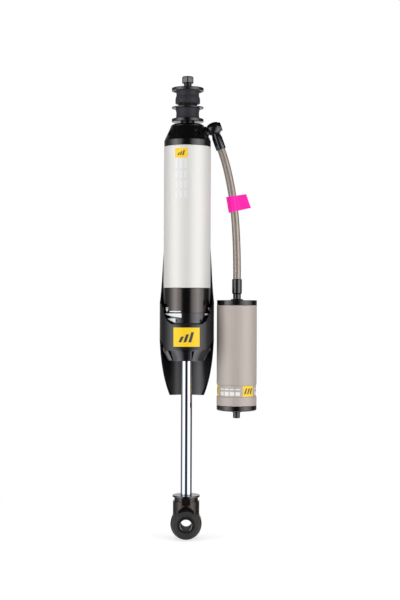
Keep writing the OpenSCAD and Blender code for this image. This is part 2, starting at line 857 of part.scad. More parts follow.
module banjo_fitting() {
    color(black) at_elbow() difference() {
        union() {
            translate([-banjo_half, 0, 0]) rotate([0, 90, 0]) rotate_extrude() banjo_section();
            translate([0, 0, -ferrule_reach + 12]) cylinder(r = 3, h = ferrule_reach - 12);
        }
        translate([-banjo_half - 1, 0, 0]) rotate([0, 90, 0])
            cylinder(r = banjo_bolt_d / 2 + fit, h = banjo_len + 2);
        translate([0, 0, -ferrule_reach]) cylinder(r = 1.5, h = ferrule_reach);
    }
}

// Half section of the banjo's eye: a barrel with round corners
module banjo_section() {
    round_r = banjo_round;
    side = banjo_d / 2 - round_r;
    steps = 6;
    low = [for (i = [0:steps]) let (a = 90 * i / steps) [side + round_r * sin(a), round_r - round_r * cos(a)]];
    high = [for (i = [0:steps]) let (a = 90 * i / steps)
        [side + round_r * cos(a), banjo_len - round_r + round_r * sin(a)]];
    polygon(concat([[0, 0]], low, high, [[0, banjo_len]]));
}

module banjo_bolt() {
    bolt_r = banjo_bolt_d / 2;
    shank_len = banjo_head_x + port_len + 12;
    color(black) at_elbow() difference() {
        union() {
            translate([banjo_head_x, 0, 0]) rotate([0, 90, 0]) hex_bar(banjo_af, banjo_head_h, 1.2);
            translate([banjo_head_x - shank_len, 0, 0]) rotate([0, 90, 0]) cylinder(r = bolt_r, h = shank_len + 1);
        }
        translate([banjo_head_x - shank_len - 1, 0, 0]) rotate([0, 90, 0]) cylinder(r = 2, h = shank_len);
        translate([0, 0, -bolt_r - 1]) cylinder(r = 1.5, h = 2 * bolt_r + 2);
    }
}

module banjo_washers() {
    washer_r = banjo_d / 2 - banjo_round + 1.5;
    color(brass) at_elbow()
        for (x = [-banjo_half - seal_washer_t, banjo_tip])
            translate([x, 0, 0]) rotate([0, 90, 0]) ring(washer_r, banjo_bolt_d / 2 + fit, 0, seal_washer_t);
}

// A crimped ferrule, from z up, with its nipple's hole
module ferrule(d, z, h) {
    difference() {
        union() {
            bar(d / 2, z + 1.5, h - 1.5);
            translate([0, 0, z]) cylinder(r1 = d / 2 - 1.2, r2 = d / 2, h = 1.5);
        }
        bar(3 + fit, z - 1, h - 4);
    }
}

module upper_ferrule() {
    start = banjo_d / 2 + end_gap;
    color(black) at_elbow() mirror([0, 0, 1])
        ferrule(upper_ferrule_d, start, ferrule_reach - start);
}

module lower_ferrule() {
    color(black) translate([reservoir_x, 0, 0]) ferrule(lower_ferrule_d, ferrule_z, ferrule_len);
}

// A tube with hose_sides sides through the route's points, all in the plane Y = 0
module hose() {
    n = len(hose_route);
    tangent = function (i) let (
        a = hose_route[max(i - 1, 0)],
        b = hose_route[min(i + 1, n - 1)],
        d = b - a
    ) d / norm(d);
    rings = [for (i = [0:n - 1], k = [0:hose_sides - 1]) let (
        t = tangent(i),
        a = 360 * (k + 0.5) / hose_sides,
        across = hose_d / 2 * cos(a)
    ) [hose_route[i][0] + across * t[1], hose_d / 2 * sin(a), hose_route[i][1] - across * t[0]]];
    walls = [for (i = [0:n - 2], k = [0:hose_sides - 1]) let (
        k2 = (k + 1) % hose_sides,
        a = i * hose_sides
    ) [a + k, a + hose_sides + k, a + hose_sides + k2, a + k2]];
    first_end = [for (k = [0:hose_sides - 1]) k];
    last_end = [for (k = [hose_sides - 1:-1:0]) (n - 1) * hose_sides + k];
    color(warm_grey) polyhedron(points = rings, faces = concat([first_end], walls, [last_end]));
}

// A strip of tape folded round the hose, its ends stuck together as a flag
module hose_tag() {
    loop_r = hose_d / 2 + tag_slack;
    wrap_r = loop_r + tag_t;
    color(pink) translate([tag_pos[0], 0, tag_pos[1]]) rotate([0, -tag_lean, 0]) translate([0, 0, -tag_w / 2])
        difference() {
            union() {
                cylinder(r = wrap_r, h = tag_w);
                translate([0, -tag_t / 2, 0]) cube([tag_reach, tag_t, tag_w]);
                translate([-loop_r - tag_tail, -tag_t / 2, 0]) cube([loop_r, tag_t, tag_w]);
            }
            translate([0, 0, -1]) cylinder(r = loop_r, h = tag_w + 2);
        }
}

// ---- Reservoir ----

module reservoir_tube() {
    color(warm_grey) translate([reservoir_x, 0, 0]) difference() {
        ring(reservoir_r, reservoir_bore_r, reservoir_tube_z, reservoir_len);
        ring(reservoir_r + 5, reservoir_r - label_depth, reservoir_tube_z + label_h, label_w);
    }
}

module reservoir_label() {
    label_r = reservoir_r - label_depth;
    color(yellow) translate([reservoir_x, 0, 0])
        ring(label_r + fit + 0.35, label_r + fit, reservoir_tube_z + label_h + free, label_w - 2 * free);
}

module reservoir_top_cap() {
    plug_z = reservoir_cap_z - cap_plug_len;
    color(black) translate([reservoir_x, 0, 0]) difference() {
        union() {
            bar(reservoir_r, reservoir_cap_z, top_cap_t);
            bar(reservoir_bore_r - fit, plug_z, cap_plug_len + 1);
        }
        bar(fitting_bore_r, plug_z - 1, cap_plug_len + top_cap_t + 2);
        ring(reservoir_r, reservoir_bore_r - 2.4, plug_z + 5, 2.6);
    }
}

module reservoir_bottom_cap() {
    chamfer = 1.6;
    color(black) translate([reservoir_x, 0, 0]) difference() {
        union() {
            translate([0, 0, reservoir_z]) cylinder(r1 = reservoir_r - chamfer, r2 = reservoir_r, h = chamfer);
            bar(reservoir_r, reservoir_z + chamfer, bottom_cap_t - chamfer);
            bar(reservoir_bore_r - fit, reservoir_tube_z - 1, cap_plug_len + 1);
        }
        bar(valve_bore_r, reservoir_z - 1, bottom_cap_t + cap_plug_len + 2);
        ring(reservoir_r, reservoir_bore_r - 2.4, reservoir_tube_z + cap_plug_len - 7.6, 2.6);
    }
}

module reservoir_seals() {
    seal_mid_r = reservoir_bore_r - 1.2;
    color(rubber) translate([reservoir_x, 0, 0]) {
        o_ring(seal_mid_r, 1.12, reservoir_cap_z - cap_plug_len + 6.3);
        o_ring(seal_mid_r, 1.12, reservoir_tube_z + cap_plug_len - 6.3);
    }
}

module floating_piston() {
    float_r = reservoir_bore_r - 0.4;
    crown_t = 6;
    seal_groove_z = float_z + float_h / 2 - 1.6;
    color(silver) translate([reservoir_x, 0, 0]) difference() {
        bar(float_r, float_z, float_h);
        bar(float_r - 5, float_z - 1, float_h - crown_t + 1);
        ring(reservoir_r, float_r - 2.6, seal_groove_z, 3.2);
    }
}

module floating_piston_seal() {
    color(rubber) translate([reservoir_x, 0, 0])
        ring(reservoir_bore_r - run, reservoir_bore_r - 3 + fit, float_z + float_h / 2 - 1.6 + fit, 3.2 - 2 * fit);
}

module reservoir_fitting() {
    plug_len = 12;
    color(black) translate([reservoir_x, 0, 0]) difference() {
        union() {
            bar(fitting_bore_r - fit, fitting_z - plug_len, plug_len + 1);
            translate([0, 0, fitting_z]) cylinder(
                r1 = fitting_flange_d / 2, r2 = fitting_flange_d / 2 - 0.8, h = fitting_flange_t);
            bar(fitting_neck_d / 2, fitting_neck_z - 0.5, fitting_neck_h + 0.5);
            bar(3, ferrule_z - 1, ferrule_len - 6);
        }
        bar(1.5, fitting_z - plug_len - 1, 2 * plug_len + ferrule_len);
    }
}

module gas_valve() {
    color(steel) translate([reservoir_x, 0, 0]) difference() {
        union() {
            bar(valve_bore_r - fit, reservoir_z - 1, 12);
            bar(valve_flange_d / 2, reservoir_z - valve_flange_t, valve_flange_t);
            bar(3.9, reservoir_z - valve_flange_t - valve_cap_h + 2, valve_cap_h);
        }
        bar(1, reservoir_z - valve_flange_t - valve_cap_h, valve_cap_h + 20);
    }
}

module valve_cap() {
    cap_foot = reservoir_z - valve_flange_t - end_gap - valve_cap_h;
    color(black) translate([reservoir_x, 0, 0]) difference() {
        union() {
            translate([0, 0, cap_foot]) cylinder(r1 = valve_cap_d / 2 - 1, r2 = valve_cap_d / 2, h = 1);
            bar(valve_cap_d / 2, cap_foot + 1, valve_cap_h - 1);
        }
        bar(3.9 + fit, cap_foot + 1.8, valve_cap_h);
    }
}

// ---- Stone guard ----

// Region kept in the front view, [x, z], extruded through the front half
module front_cut(points) {
    translate([0, 0.5, 0]) rotate([90, 0, 0]) linear_extrude(guard_r + 5) polygon(points);
}

// Region kept in the side view, [y, z], extruded through the whole width
module side_cut(points) {
    rotate([90, 0, 90]) linear_extrude(4 * guard_r, center = true) polygon(points);
}

// The rib that runs in the housing's groove
module guard_rib() {
    rib_in_r = body_r - groove_depth + free;
    ring(guard_bore_r + 1, rib_in_r, groove_z + free, groove_w - 2 * free);
}

// A screw and its hole, radially through the shield and into the yoke's tab
module at_screws() {
    for (side = [0, 1], z = screw_heights)
        rotate([0, 0, side ? 180 - screw_turn : screw_turn]) translate([0, 0, z]) rotate([0, 90, 0]) children();
}

module guard_yoke() {
    far = guard_r + 5;
    mouth_half = guard_bore_r - 0.5;
    side_w = mouth_half - window_half;
    window = [
        [window_half, sill_z], [window_half + 0.43 * side_w, sill_z + 0.17 * shoulder_rise],
        [window_half + 0.8 * side_w, sill_z + 0.54 * shoulder_rise], [mouth_half, shoulder_top_z],
        [mouth_half, shoulder_top_z + 5]
    ];
    window_left = [for (i = [len(window) - 1:-1:0]) [-window[i][0], window[i][1]]];
    color(satin_black) difference() {
        union() {
            intersection() {
                union() {
                    ring(guard_r, guard_bore_r, yoke_z, shoulder_top_z - yoke_z);
                    guard_rib();
                }
                translate([-far, -far - end_gap / 2, yoke_z - 1]) cube([2 * far, far, shoulder_top_z - yoke_z + 2]);
            }
            yoke_tabs();
        }
        front_cut(concat(window, window_left));
        for (side = [-1, 1])
            front_cut([[side * (guard_r - corner_w), yoke_z], [side * (guard_r - corner_w), yoke_z - 1],
                [side * far, yoke_z - 1], [side * far, corner_z], [side * guard_r, corner_z]]);
        shell_patch(guard_r + 1, guard_r - badge_t, badge_z, badge_h, 0, badge_half_turn() + 0.3);
        at_screws() translate([0, 0, guard_bore_r - 6]) cylinder(r = guard_screw_d / 2 + fit, h = 7);
    }
}

// Tabs behind the shield's edges that take the guard screws
module yoke_tabs() {
    tab_z = screw_heights[0] - 7;
    tab_h = screw_heights[1] - screw_heights[0] + 14;
    for (side = [-1, 1])
        rotate([0, 0, side * 90]) shell_patch(guard_bore_r - fit, tab_in_r, tab_z, tab_h, 0, tab_turn);
    for (side = [-1, 1])
        intersection() {
            rotate([0, 0, side * 90]) shell_patch(guard_bore_r + 1, guard_bore_r - 1, tab_z, tab_h, 0, tab_turn);
            translate([-guard_r - 5, -guard_r - 5 - end_gap / 2, tab_z - 1]) cube([2 * guard_r + 10, guard_r + 5, tab_h + 2]);
        }
}

module guard_shield() {
    shield_front = sqrt(pow(guard_r, 2) - pow(shield_half, 2));
    back = guard_r + 5;
    tail = tail_z - shoulder_top_z;
    profile = [
        [end_gap / 2, corner_z], [end_gap / 2, shoulder_top_z],
        [0.18 * guard_r, shoulder_top_z + 0.075 * tail], [0.29 * guard_r, shoulder_top_z + 0.2 * tail],
        [0.36 * guard_r, shoulder_top_z + 0.34 * tail], [0.44 * guard_r, shoulder_top_z + 0.6 * tail],
        [0.51 * guard_r, shoulder_top_z + 0.84 * tail], [0.6 * guard_r, tail_z - 0.045 * tail],
        [0.74 * guard_r, tail_z], [back, tail_z], [back, shield_z], [shield_front, shield_z],
        [0.12 * guard_r, corner_z - corner_h / 2]
    ];
    color(satin_black) difference() {
        intersection() {
            union() {
                ring(guard_r, guard_bore_r, shield_z, tail_z - shield_z);
                guard_rib();
            }
            side_cut(profile);
        }
        at_screws() translate([0, 0, guard_bore_r - 5]) cylinder(r = guard_screw_d / 2 + fit, h = guard_wall + 6);
        at_screws() translate([0, 0, guard_head_z]) cylinder(r = guard_head_d / 2 + fit, h = 5);
    }
}

module guard_screws() {
    head_h = 1.5;
    shank_len = guard_head_z - tab_in_r - 0.2;
    color(steel) at_screws() {
        translate([0, 0, guard_head_z]) difference() {
            cylinder(r = guard_head_d / 2, h = head_h);
            translate([0, 0, head_h - 1]) cylinder(r = 1.7, h = 2, $fn = 6);
        }
        translate([0, 0, guard_head_z - shank_len]) cylinder(r = guard_screw_d / 2, h = shank_len);
    }
}

badge_half_turn = function () badge_w / 2 / guard_r * 180 / PI;

module guard_badge() {
    color(yellow) shell_patch(guard_r + 0.1, guard_r - badge_t + fit, badge_z + 0.1, badge_h - 0.2, 0, badge_half_turn());
}

// ---- Nodes ----

lower_eye();
eye_bush();
eye_sleeve();
rod_collar();
piston_rod();
top_out_bumper();
rebound_shims();
piston();
piston_band();
compression_shims();
piston_nut();
gland_nut();
rod_wiper();
rod_seal();
rod_guide();
guide_bearing();
guide_seal();
lower_housing();
inner_cylinder();
compression_adjuster();
rebound_adjuster();
adjuster_sleeve();
body_tube();
body_badge();
top_cap();
top_cap_seal();
top_stud();
lower_washer();
lower_bush();
flat_washer();
upper_bush();
upper_washer();
top_nut();
banjo_bolt();
banjo_fitting();
banjo_washers();
upper_ferrule();
hose();
hose_tag();
lower_ferrule();
reservoir_fitting();
reservoir_tube();
reservoir_top_cap();
reservoir_bottom_cap();
reservoir_seals();
reservoir_label();
floating_piston();
floating_piston_seal();
gas_valve();
valve_cap();
guard_yoke();
guard_shield();
guard_screws();
guard_badge();
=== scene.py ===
"""Finishes, prints, hose and studio for a rear shock absorber with a remote reservoir."""

import json
import math

import bmesh
import bpy
from bpy.props import FloatProperty, FloatVectorProperty, IntProperty, PointerProperty
from mathutils import Matrix, Vector


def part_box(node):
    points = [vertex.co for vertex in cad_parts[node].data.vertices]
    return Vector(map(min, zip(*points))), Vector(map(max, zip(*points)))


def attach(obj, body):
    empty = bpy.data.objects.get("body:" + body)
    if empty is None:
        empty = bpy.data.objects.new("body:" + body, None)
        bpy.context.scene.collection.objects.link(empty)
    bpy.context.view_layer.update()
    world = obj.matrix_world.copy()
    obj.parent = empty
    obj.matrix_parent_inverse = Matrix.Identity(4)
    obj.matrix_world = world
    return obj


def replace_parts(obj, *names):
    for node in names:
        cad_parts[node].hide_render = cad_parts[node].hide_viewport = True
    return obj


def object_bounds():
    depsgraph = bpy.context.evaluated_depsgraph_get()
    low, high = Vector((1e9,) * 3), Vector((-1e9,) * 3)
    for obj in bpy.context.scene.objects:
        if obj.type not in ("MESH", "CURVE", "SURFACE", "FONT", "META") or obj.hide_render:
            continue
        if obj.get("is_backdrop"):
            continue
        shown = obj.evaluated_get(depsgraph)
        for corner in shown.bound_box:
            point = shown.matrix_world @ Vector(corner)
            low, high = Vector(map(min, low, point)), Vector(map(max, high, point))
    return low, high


bl_info = {
    "name": "Rear shock absorber",
    "version": (1, 0, 0),
    "blender": (4, 5, 0),
    "location": "View3D > Sidebar > Shock",
    "description": "Dresses the shock absorber's frame with its finishes, prints, hose and tag",
    "category": "Object",
}

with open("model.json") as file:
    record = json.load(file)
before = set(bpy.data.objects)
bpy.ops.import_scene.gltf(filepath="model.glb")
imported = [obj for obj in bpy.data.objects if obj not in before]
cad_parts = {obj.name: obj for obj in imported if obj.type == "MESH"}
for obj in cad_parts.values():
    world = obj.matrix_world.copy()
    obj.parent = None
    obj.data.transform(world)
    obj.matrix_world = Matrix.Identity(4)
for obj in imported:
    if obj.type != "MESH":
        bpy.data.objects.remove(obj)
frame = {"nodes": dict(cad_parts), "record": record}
NODES = frame["nodes"]
MM = 0.001

# The hose's route from the upper ferrule to the lower one, (x, z) in metres, in the plane y = 0
HOSE_ROUTE = [
    (0.0538, 0.5982), (0.0574, 0.5878), (0.0612, 0.5754), (0.0644, 0.5629), (0.0672, 0.5504),
    (0.0697, 0.5379), (0.0719, 0.5254), (0.0737, 0.5129), (0.0752, 0.5004), (0.0765, 0.4879),
    (0.0775, 0.4749), (0.0783, 0.4619), (0.0789, 0.4489), (0.0794, 0.4359), (0.0797, 0.4239),
    (0.0799, 0.4119), (0.08, 0.4009), (0.08, 0.3908),
]


def box_mm(node):
    """Lowest and highest corner of a CAD node, in millimetres."""
    low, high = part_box(node)
    return low / MM, high / MM


def outer_radius(node):
    """Largest radius of a round CAD node, from its width along X, in millimetres."""
    low, high = box_mm(node)
    return (high.x - low.x) / 2


# The body's radius in millimetres, and the x of the reservoir's axis in metres
BODY_R = outer_radius("body_tube")
RESERVOIR_X = sum(corner.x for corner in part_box("reservoir_tube")) / 2

# The hose port: its X runs along the banjo bolt, away from the cap, and its origin is on the ferrule's axis
AT_PORT = Matrix.Translation((0.04188, 0, 0.63094)) @ Matrix.Rotation(math.radians(-20), 4, "Y")
# Turns a solid of revolution so that its axis lies along the eye's bolt, or along the port's X
ALONG_Y = Matrix.Rotation(math.radians(-90), 4, "X")
ALONG_X = Matrix.Rotation(math.radians(90), 4, "Y")


# ---- Sizes and colours a user would change ----


def length_property(name, millimetres, description):
    """A length property whose default is given in millimetres."""
    return FloatProperty(
        name=name, description=description, default=millimetres * MM, unit="LENGTH", precision=5)


def linear(hex_text):
    """An sRGB hex value, such as d9d6d2, as a linear RGBA colour."""
    channels = [int(hex_text[i:i + 2], 16) / 255 for i in (0, 2, 4)]
    return tuple(c / 12.92 if c <= 0.04045 else ((c + 0.055) / 1.055) ** 2.4 for c in channels) + (1.0,)


def colour_property(name, hex_text, description):
    """A colour property whose default is an sRGB hex value, held as a linear colour."""
    return FloatVectorProperty(
        name=name, description=description, subtype="COLOR", size=4, min=0, max=1, default=linear(hex_text))


class ShockSizes(bpy.types.PropertyGroup):
    """Sizes of the details that the frame doesn't hold."""

    moulded_edge: length_property("Moulded edge", 1.0, "Radius of the guard's moulded edges")
    print_height: length_property("Print height", 0.08, "How proud a printed mark stands")
    hose_diameter: length_property("Hose diameter", 12.5, "Outside diameter of the braided hose")
    braid_pitch: length_property("Braid pitch", 42, "Length of one turn of a braid strand along the hose")
    braid_strands: IntProperty(
        name="Braid strands", description="Strands that wind each way; an even number",
        default=14, min=6, max=24)
    braid_relief: length_property("Braid relief", 0.22, "Height of a strand's crown")
    thread_pitch: length_property("Thread pitch", 1.25, "Pitch of the stud's thread")


class ShockColours(bpy.types.PropertyGroup):
    """Colours of the finishes."""

    body: colour_property("Body", "dedcd9", "Silver paint of the damper body")
    reservoir: colour_property("Reservoir", "b7ada6", "Warm grey anodising of the reservoir")
    black: colour_property("Black", "070708", "Black anodising of the turned parts")
    guard: colour_property("Guard", "0f0f12", "Moulded plastic of the stone guard")
    rubber: colour_property("Rubber", "22222a", "Rubber of the bushes")
    tag: colour_property("Tag", "f80eaa", "Fluorescent tape of the tag")
    badge: colour_property("Badge", "fdd206", "Yellow ground of the badges")


def sizes():
    """The sizes as they stand in the scene."""
    return bpy.context.scene.shock_sizes


def colours():
    """The colours as they stand in the scene."""
    return bpy.context.scene.shock_colours


# ---- Materials ----


def add_node(tree, kind, inputs=None, **settings):
    """Adds a node with its own settings to a tree.

    inputs gives each socket a plain value, the output or the node that feeds it, a pattern, or a sum such as
    ("ADD", a, b), which becomes a Math node. The terms of a sum may be sums themselves.
    """
    node = tree.nodes.new(kind)
    for name, value in settings.items():
        setattr(node, name, value)
    for key, value in (inputs or {}).items():
        if callable(value):
            value = value(tree)
        elif isinstance(value, tuple) and isinstance(value[0], str):
            operation, *terms = value
            value = add_node(tree, "ShaderNodeMath", dict(enumerate(terms)), operation=operation)
        if isinstance(value, bpy.types.Node):
            value = value.outputs[0]
        if isinstance(value, bpy.types.NodeSocket):
            tree.links.new(value, node.inputs[key])
        else:
            node.inputs[key].default_value = value
    return node


def empty_tree(owner):
    """Turns on the nodes of a material or a world and returns its tree, emptied."""
    owner.use_nodes = True
    owner.node_tree.nodes.clear()
    return owner.node_tree


def speckle(size_mm, detail=2.0, stretch=(1, 1, 1)):
    """A pattern: noise whose grains are about size_mm across, on the object's own coordinates."""
    def pattern(tree):
        place = add_node(tree, "ShaderNodeTexCoord").outputs["Object"]
        scaled = add_node(tree, "ShaderNodeMapping", {"Vector": place, "Scale": stretch})
        grains = {"Vector": scaled, "Scale": 1 / (size_mm * MM), "Detail": detail, "Roughness": 0.55}
        return add_node(tree, "ShaderNodeTexNoise", grains).outputs["Fac"]
    return pattern


def lathe_rings(tree):
    """A pattern: fine rings left by a lathe round an upright part, one every half millimetre."""
    pitch = 0.5 * MM
    place = add_node(tree, "ShaderNodeTexCoord").outputs["Object"]
    waves = {"Vector": place, "Scale": math.pi / (10 * pitch), "Distortion": 0.4, "Detail": 1.0}
    return add_node(tree, "ShaderNodeTexWave", waves, wave_type="BANDS", bands_direction="Z").outputs["Fac"]


def new_material(name, colour=None, shade=None, dull=None, relief=None, **shader):
    """A material with one Principled shader, whose plain socket values shader holds.

    Patterns drive it too: shade is (pattern, darkest, lightest), as factors on the colour; dull is (pattern,
    lowest, highest), for the roughness; relief is (pattern, depth in millimetres).
    """
    tree = empty_tree(bpy.data.materials.new(name))
    values = {key.replace("_", " "): value for key, value in shader.items()}

    def levels(pattern, low, high):
        # Noise seldom leaves 0.3 to 0.7, so that much of it covers the whole range
        return add_node(tree, "ShaderNodeMapRange", {
            "Value": pattern, "From Min": 0.3, "From Max": 0.7, "To Min": low, "To Max": high})

    if shade:
        values["Base Color"] = add_node(
            tree, "ShaderNodeVectorMath", {0: colour[:3], 1: levels(*shade)}, operation="MULTIPLY")
    if dull:
        values["Roughness"] = levels(*dull)
    if relief:
        pattern, depth_mm = relief
        values["Normal"] = add_node(
            tree, "ShaderNodeBump", {"Height": pattern, "Strength": 1.0, "Distance": depth_mm * MM})
    principled = add_node(tree, "ShaderNodeBsdfPrincipled", values)
    add_node(tree, "ShaderNodeOutputMaterial", {"Surface": principled})


def silver_paint(name):
    """Silver paint under clear lacquer: fine metal flake, a soft wide highlight and a thin gloss over it."""
    new_material(
        name, colours().body, (speckle(0.35), 0.97, 1.03), relief=(speckle(1.6), 0.01),
        Metallic=0.1, Roughness=0.45, Coat_Weight=0.15, Coat_Roughness=0.2)


def warm_grey_anodise(name):
    """Brushed and anodised aluminium: hairlines along the tube and a warm grey, metallic sheen."""
    hairline = speckle(0.5, 3.0, (1, 1, 0.012))
    new_material(
        name, colours().reservoir, (hairline, 0.93, 1.06), (hairline, 0.48, 0.58), (hairline, 0.006),
        Metallic=0.15)


def black_anodise(name):
    """Hard black anodising over turned aluminium: deep black, clear reflections and faint lathe rings."""
    new_material(
        name, colours().black, (speckle(2.0), 0.85, 1.15), (speckle(1.2), 0.13, 0.2), (lathe_rings, 0.003),
        IOR=1.8, Specular_Tint=(1.0, 0.9, 0.87, 1))


def ring_anodise(name):
    """Satin black anodising: cooler and softer than the hard black."""
    new_material(
        name, linear("0a0a0d"), (speckle(2.0), 0.85, 1.15), (speckle(1.2), 0.18, 0.26),
        IOR=1.75, Specular_Tint=(0.95, 0.93, 1.0, 1))


def black_hardcoat(name):
    """Dull black hardcoat over a machined cap: deep black with weak, soft reflections."""
    new_material(
        name, colours().black, (speckle(2.0), 0.85, 1.15), (speckle(1.2), 0.18, 0.26), (lathe_rings, 0.003),
        IOR=1.65, Specular_Tint=(1.0, 0.96, 0.95, 1))


def black_plate(name):
    """Black zinc plating on steel: satin, with a slight mottle."""
    mottle = speckle(1.5, 4.0)
    new_material(
        name, linear("09090b"), (mottle, 0.8, 1.25), (mottle, 0.24, 0.38), (speckle(0.6), 0.01), IOR=1.7)


def coated_forging(name):
    """Dip-painted steel forging: warm black over a surface that is still a little uneven."""
    scale = speckle(3.5, 5.0)
    new_material(
        name, linear("171312"), (scale, 0.75, 1.3), (scale, 0.18, 0.3), (scale, 0.05),
        IOR=1.5, Specular_Tint=(1.0, 0.85, 0.78, 1))


def moulded_rubber(name, colour):
    """Moulded rubber: soft sheen, fine grain and a patchy, dusty bloom."""
    bloom = speckle(4.0, 4.0)
    new_material(
        name, colour, (bloom, 0.8, 1.3), (bloom, 0.48, 0.62), (speckle(0.5), 0.006),
        IOR=1.36, Sheen_Weight=0.1, Sheen_Roughness=0.5)


def rod_chrome(name):
    """Ground and polished hard chrome: a near mirror with the faintest grinding haze."""
    haze = speckle(0.8, 2.0, (1, 1, 6))
    new_material(name, dull=(haze, 0.04, 0.09), Base_Color=linear("c3c9d4"), Metallic=1.0)


def phosphate_black_and_painted_shade(name):
    """A dead, dark grey that hardly reflects, as phosphated steel does. On the upper bush's rubber spigot it
    is painted shade, where the washers shade it.
    """
    new_material(name, linear("111112"), (speckle(0.8), 0.8, 1.2), Roughness=0.6, IOR=1.3)


def bare_edge(name):
    """Freshly cut steel, where the coating stops at a chamfer."""
    new_material(name, linear("8d8d90"), (speckle(0.8), 0.9, 1.1), Metallic=1.0, Roughness=0.35)


def zinc_steel(name):
    """Bright zinc on steel: pale grey metal with a soft mottle."""
    mottle = speckle(1.2, 3.0)
    new_material(name, linear("8b8c90"), (mottle, 0.85, 1.12), (mottle, 0.28, 0.45), Metallic=1.0)


def dark_steel(name):
    """Oiled steel tube: dark grey metal, drawn along its length."""
    drawn = speckle(0.6, 3.0, (1, 1, 0.03))
    new_material(name, linear("4a4a4d"), (drawn, 0.85, 1.15), Metallic=1.0, Roughness=0.4)


def bearing_bronze(name):
    """Sintered bronze: dull gold metal with fine pores."""
    pores = speckle(0.4)
    new_material(
        name, linear("b08a4c"), (pores, 0.8, 1.1), relief=(pores, 0.02), Metallic=1.0, Roughness=0.4)


def black_nylon(name):
    """Injection-moulded black nylon: satin, with a fine grain in its gloss from the mould."""
    new_material(
        name, colours().guard, (speckle(12.0), 0.9, 1.1), (speckle(0.45, 3.0), 0.25, 0.33),
        IOR=1.55, Specular_Tint=(0.95, 0.95, 1.0, 1))


def steel_braid(name):
    """Stainless braid under a clear sleeve: bright strand crowns, a smoky gloss, and painted shade that
    darkens the colour down in the hollows where strands dip under each other.
    """
    def painted_shade_by_crown(tree):
        crown = add_node(tree, "ShaderNodeAttribute", attribute_name="crown").outputs["Fac"]
        # Painted shade: the colour is darkest where the crown is low, in the hollows between the strands
        ends = {"A": linear("3a3330"), "B": linear("a89c93"), "Factor": crown}
        return add_node(tree, "ShaderNodeMix", ends, data_type="RGBA").outputs["Result"]

    new_material(
        name, Base_Color=painted_shade_by_crown, Metallic=0.6, Roughness=0.36, Coat_Weight=0.4, Coat_Roughness=0.2)


def tag_tape(name):
    """Fluorescent vinyl tape: pure, slightly glowing pink with a soft film gloss."""
    pink = colours().tag
    new_material(
        name, pink, (speckle(5.0), 0.93, 1.04), relief=(speckle(3.0), 0.05), Roughness=0.42, IOR=1.4,
        Emission_Color=pink, Emission_Strength=0.1)


def printed_film(name, colour, roughness=0.4):
    """Screen print on film: an even, opaque colour with the faint grain of the ink."""
    new_material(name, colour, (speckle(0.6), 0.97, 1.03), Roughness=roughness)


MATERIAL_MAKERS = {maker.__name__: maker for maker in (
    silver_paint, warm_grey_anodise, black_anodise, ring_anodise, black_hardcoat, black_plate,
    coated_forging, rod_chrome, phosphate_black_and_painted_shade, bare_edge, zinc_steel, dark_steel, bearing_bronze, black_nylon,
    steel_braid, tag_tape)}
MATERIAL_MAKERS.update({
    "bush_rubber": lambda name: moulded_rubber(name, colours().rubber),
    "eye_rubber": lambda name: moulded_rubber(name, linear("2d2c2c")),
    "badge_yellow": lambda name: printed_film(name, colours().badge),
    "badge_dark": lambda name: printed_film(name, linear("3a3b3f")),
    "mark_white": lambda name: printed_film(name, linear("eceef0"), 0.35),
    "mark_pale": lambda name: printed_film(name, linear("e5e6e8"), 0.3),
})


def finish_of(name):
    """The material of that name, made on first use."""
    if name not in bpy.data.materials:
        MATERIAL_MAKERS[name](name)
    return bpy.data.materials[name]


# ---- Mesh tools: outlines, radii and widths are in millimetres ----


def go_with(obj, node):
    """Makes a piece ride on a CAD node's rigid body."""
    record = frame["record"]
    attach(obj, next(body for body, nodes in record["behaviour"]["bodies"].items() if node in nodes))
    return obj


def stand_for(obj, node):
    """Makes a piece ride on a CAD node's body and stand for that node."""
    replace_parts(go_with(obj, node), node)
    return obj


def dress(node, finish):
    """Gives a CAD node that keeps its own mesh a finish."""
    mesh = NODES[node].data
    mesh.materials.clear()
    mesh.materials.append(finish_of(finish))


def link_new(name, data):
    """Links a new object with that data into the scene, at the origin."""
    obj = bpy.data.objects.new(name, data)
    bpy.context.collection.objects.link(obj)
    return obj


def smooth(mesh, angle):
    """Smooth shading, with edges sharper than angle kept."""
    mesh.polygons.foreach_set("use_smooth", [True] * len(mesh.polygons))
    mesh.set_sharp_from_angle(angle=math.radians(angle))


def object_from(name, mesh, finish, angle=40):
    """Links a mesh into the scene as a smooth piece at the origin, with one material."""
    smooth(mesh, angle)
    mesh.materials.clear()
    mesh.materials.append(finish_of(finish))
    return link_new(name, mesh)


def finish_faces(obj, finish, chosen):
    """Gives the faces whose centres, in millimetres, are chosen a second material."""
    obj.data.materials.append(finish_of(finish))
    for face in obj.data.polygons:
        if chosen(face.center / MM):
            face.material_index = 1


def mesh_from(name, bm, closed=True, unit=MM):
    """Turns a bmesh into a mesh in metres and frees it, with a closed shape's faces pointing outwards."""
    if closed:
        bmesh.ops.recalc_face_normals(bm, faces=bm.faces)
    mesh = bpy.data.meshes.new(name)
    bm.to_mesh(mesh)
    bm.free()
    mesh.transform(Matrix.Scale(unit, 4))
    return mesh


def evaluated_mesh(obj):
    """The plain mesh that an object's modifiers make."""
    graph = bpy.context.evaluated_depsgraph_get()
    return bpy.data.meshes.new_from_object(obj.evaluated_get(graph))


def modify(obj, kind, **settings):
    """Adds a modifier with its settings and applies it."""
    modifier = obj.modifiers.new(kind.lower(), kind)
    for name, value in settings.items():
        setattr(modifier, name, value)
    mesh = evaluated_mesh(obj)
    obj.modifiers.clear()
    obj.data = mesh


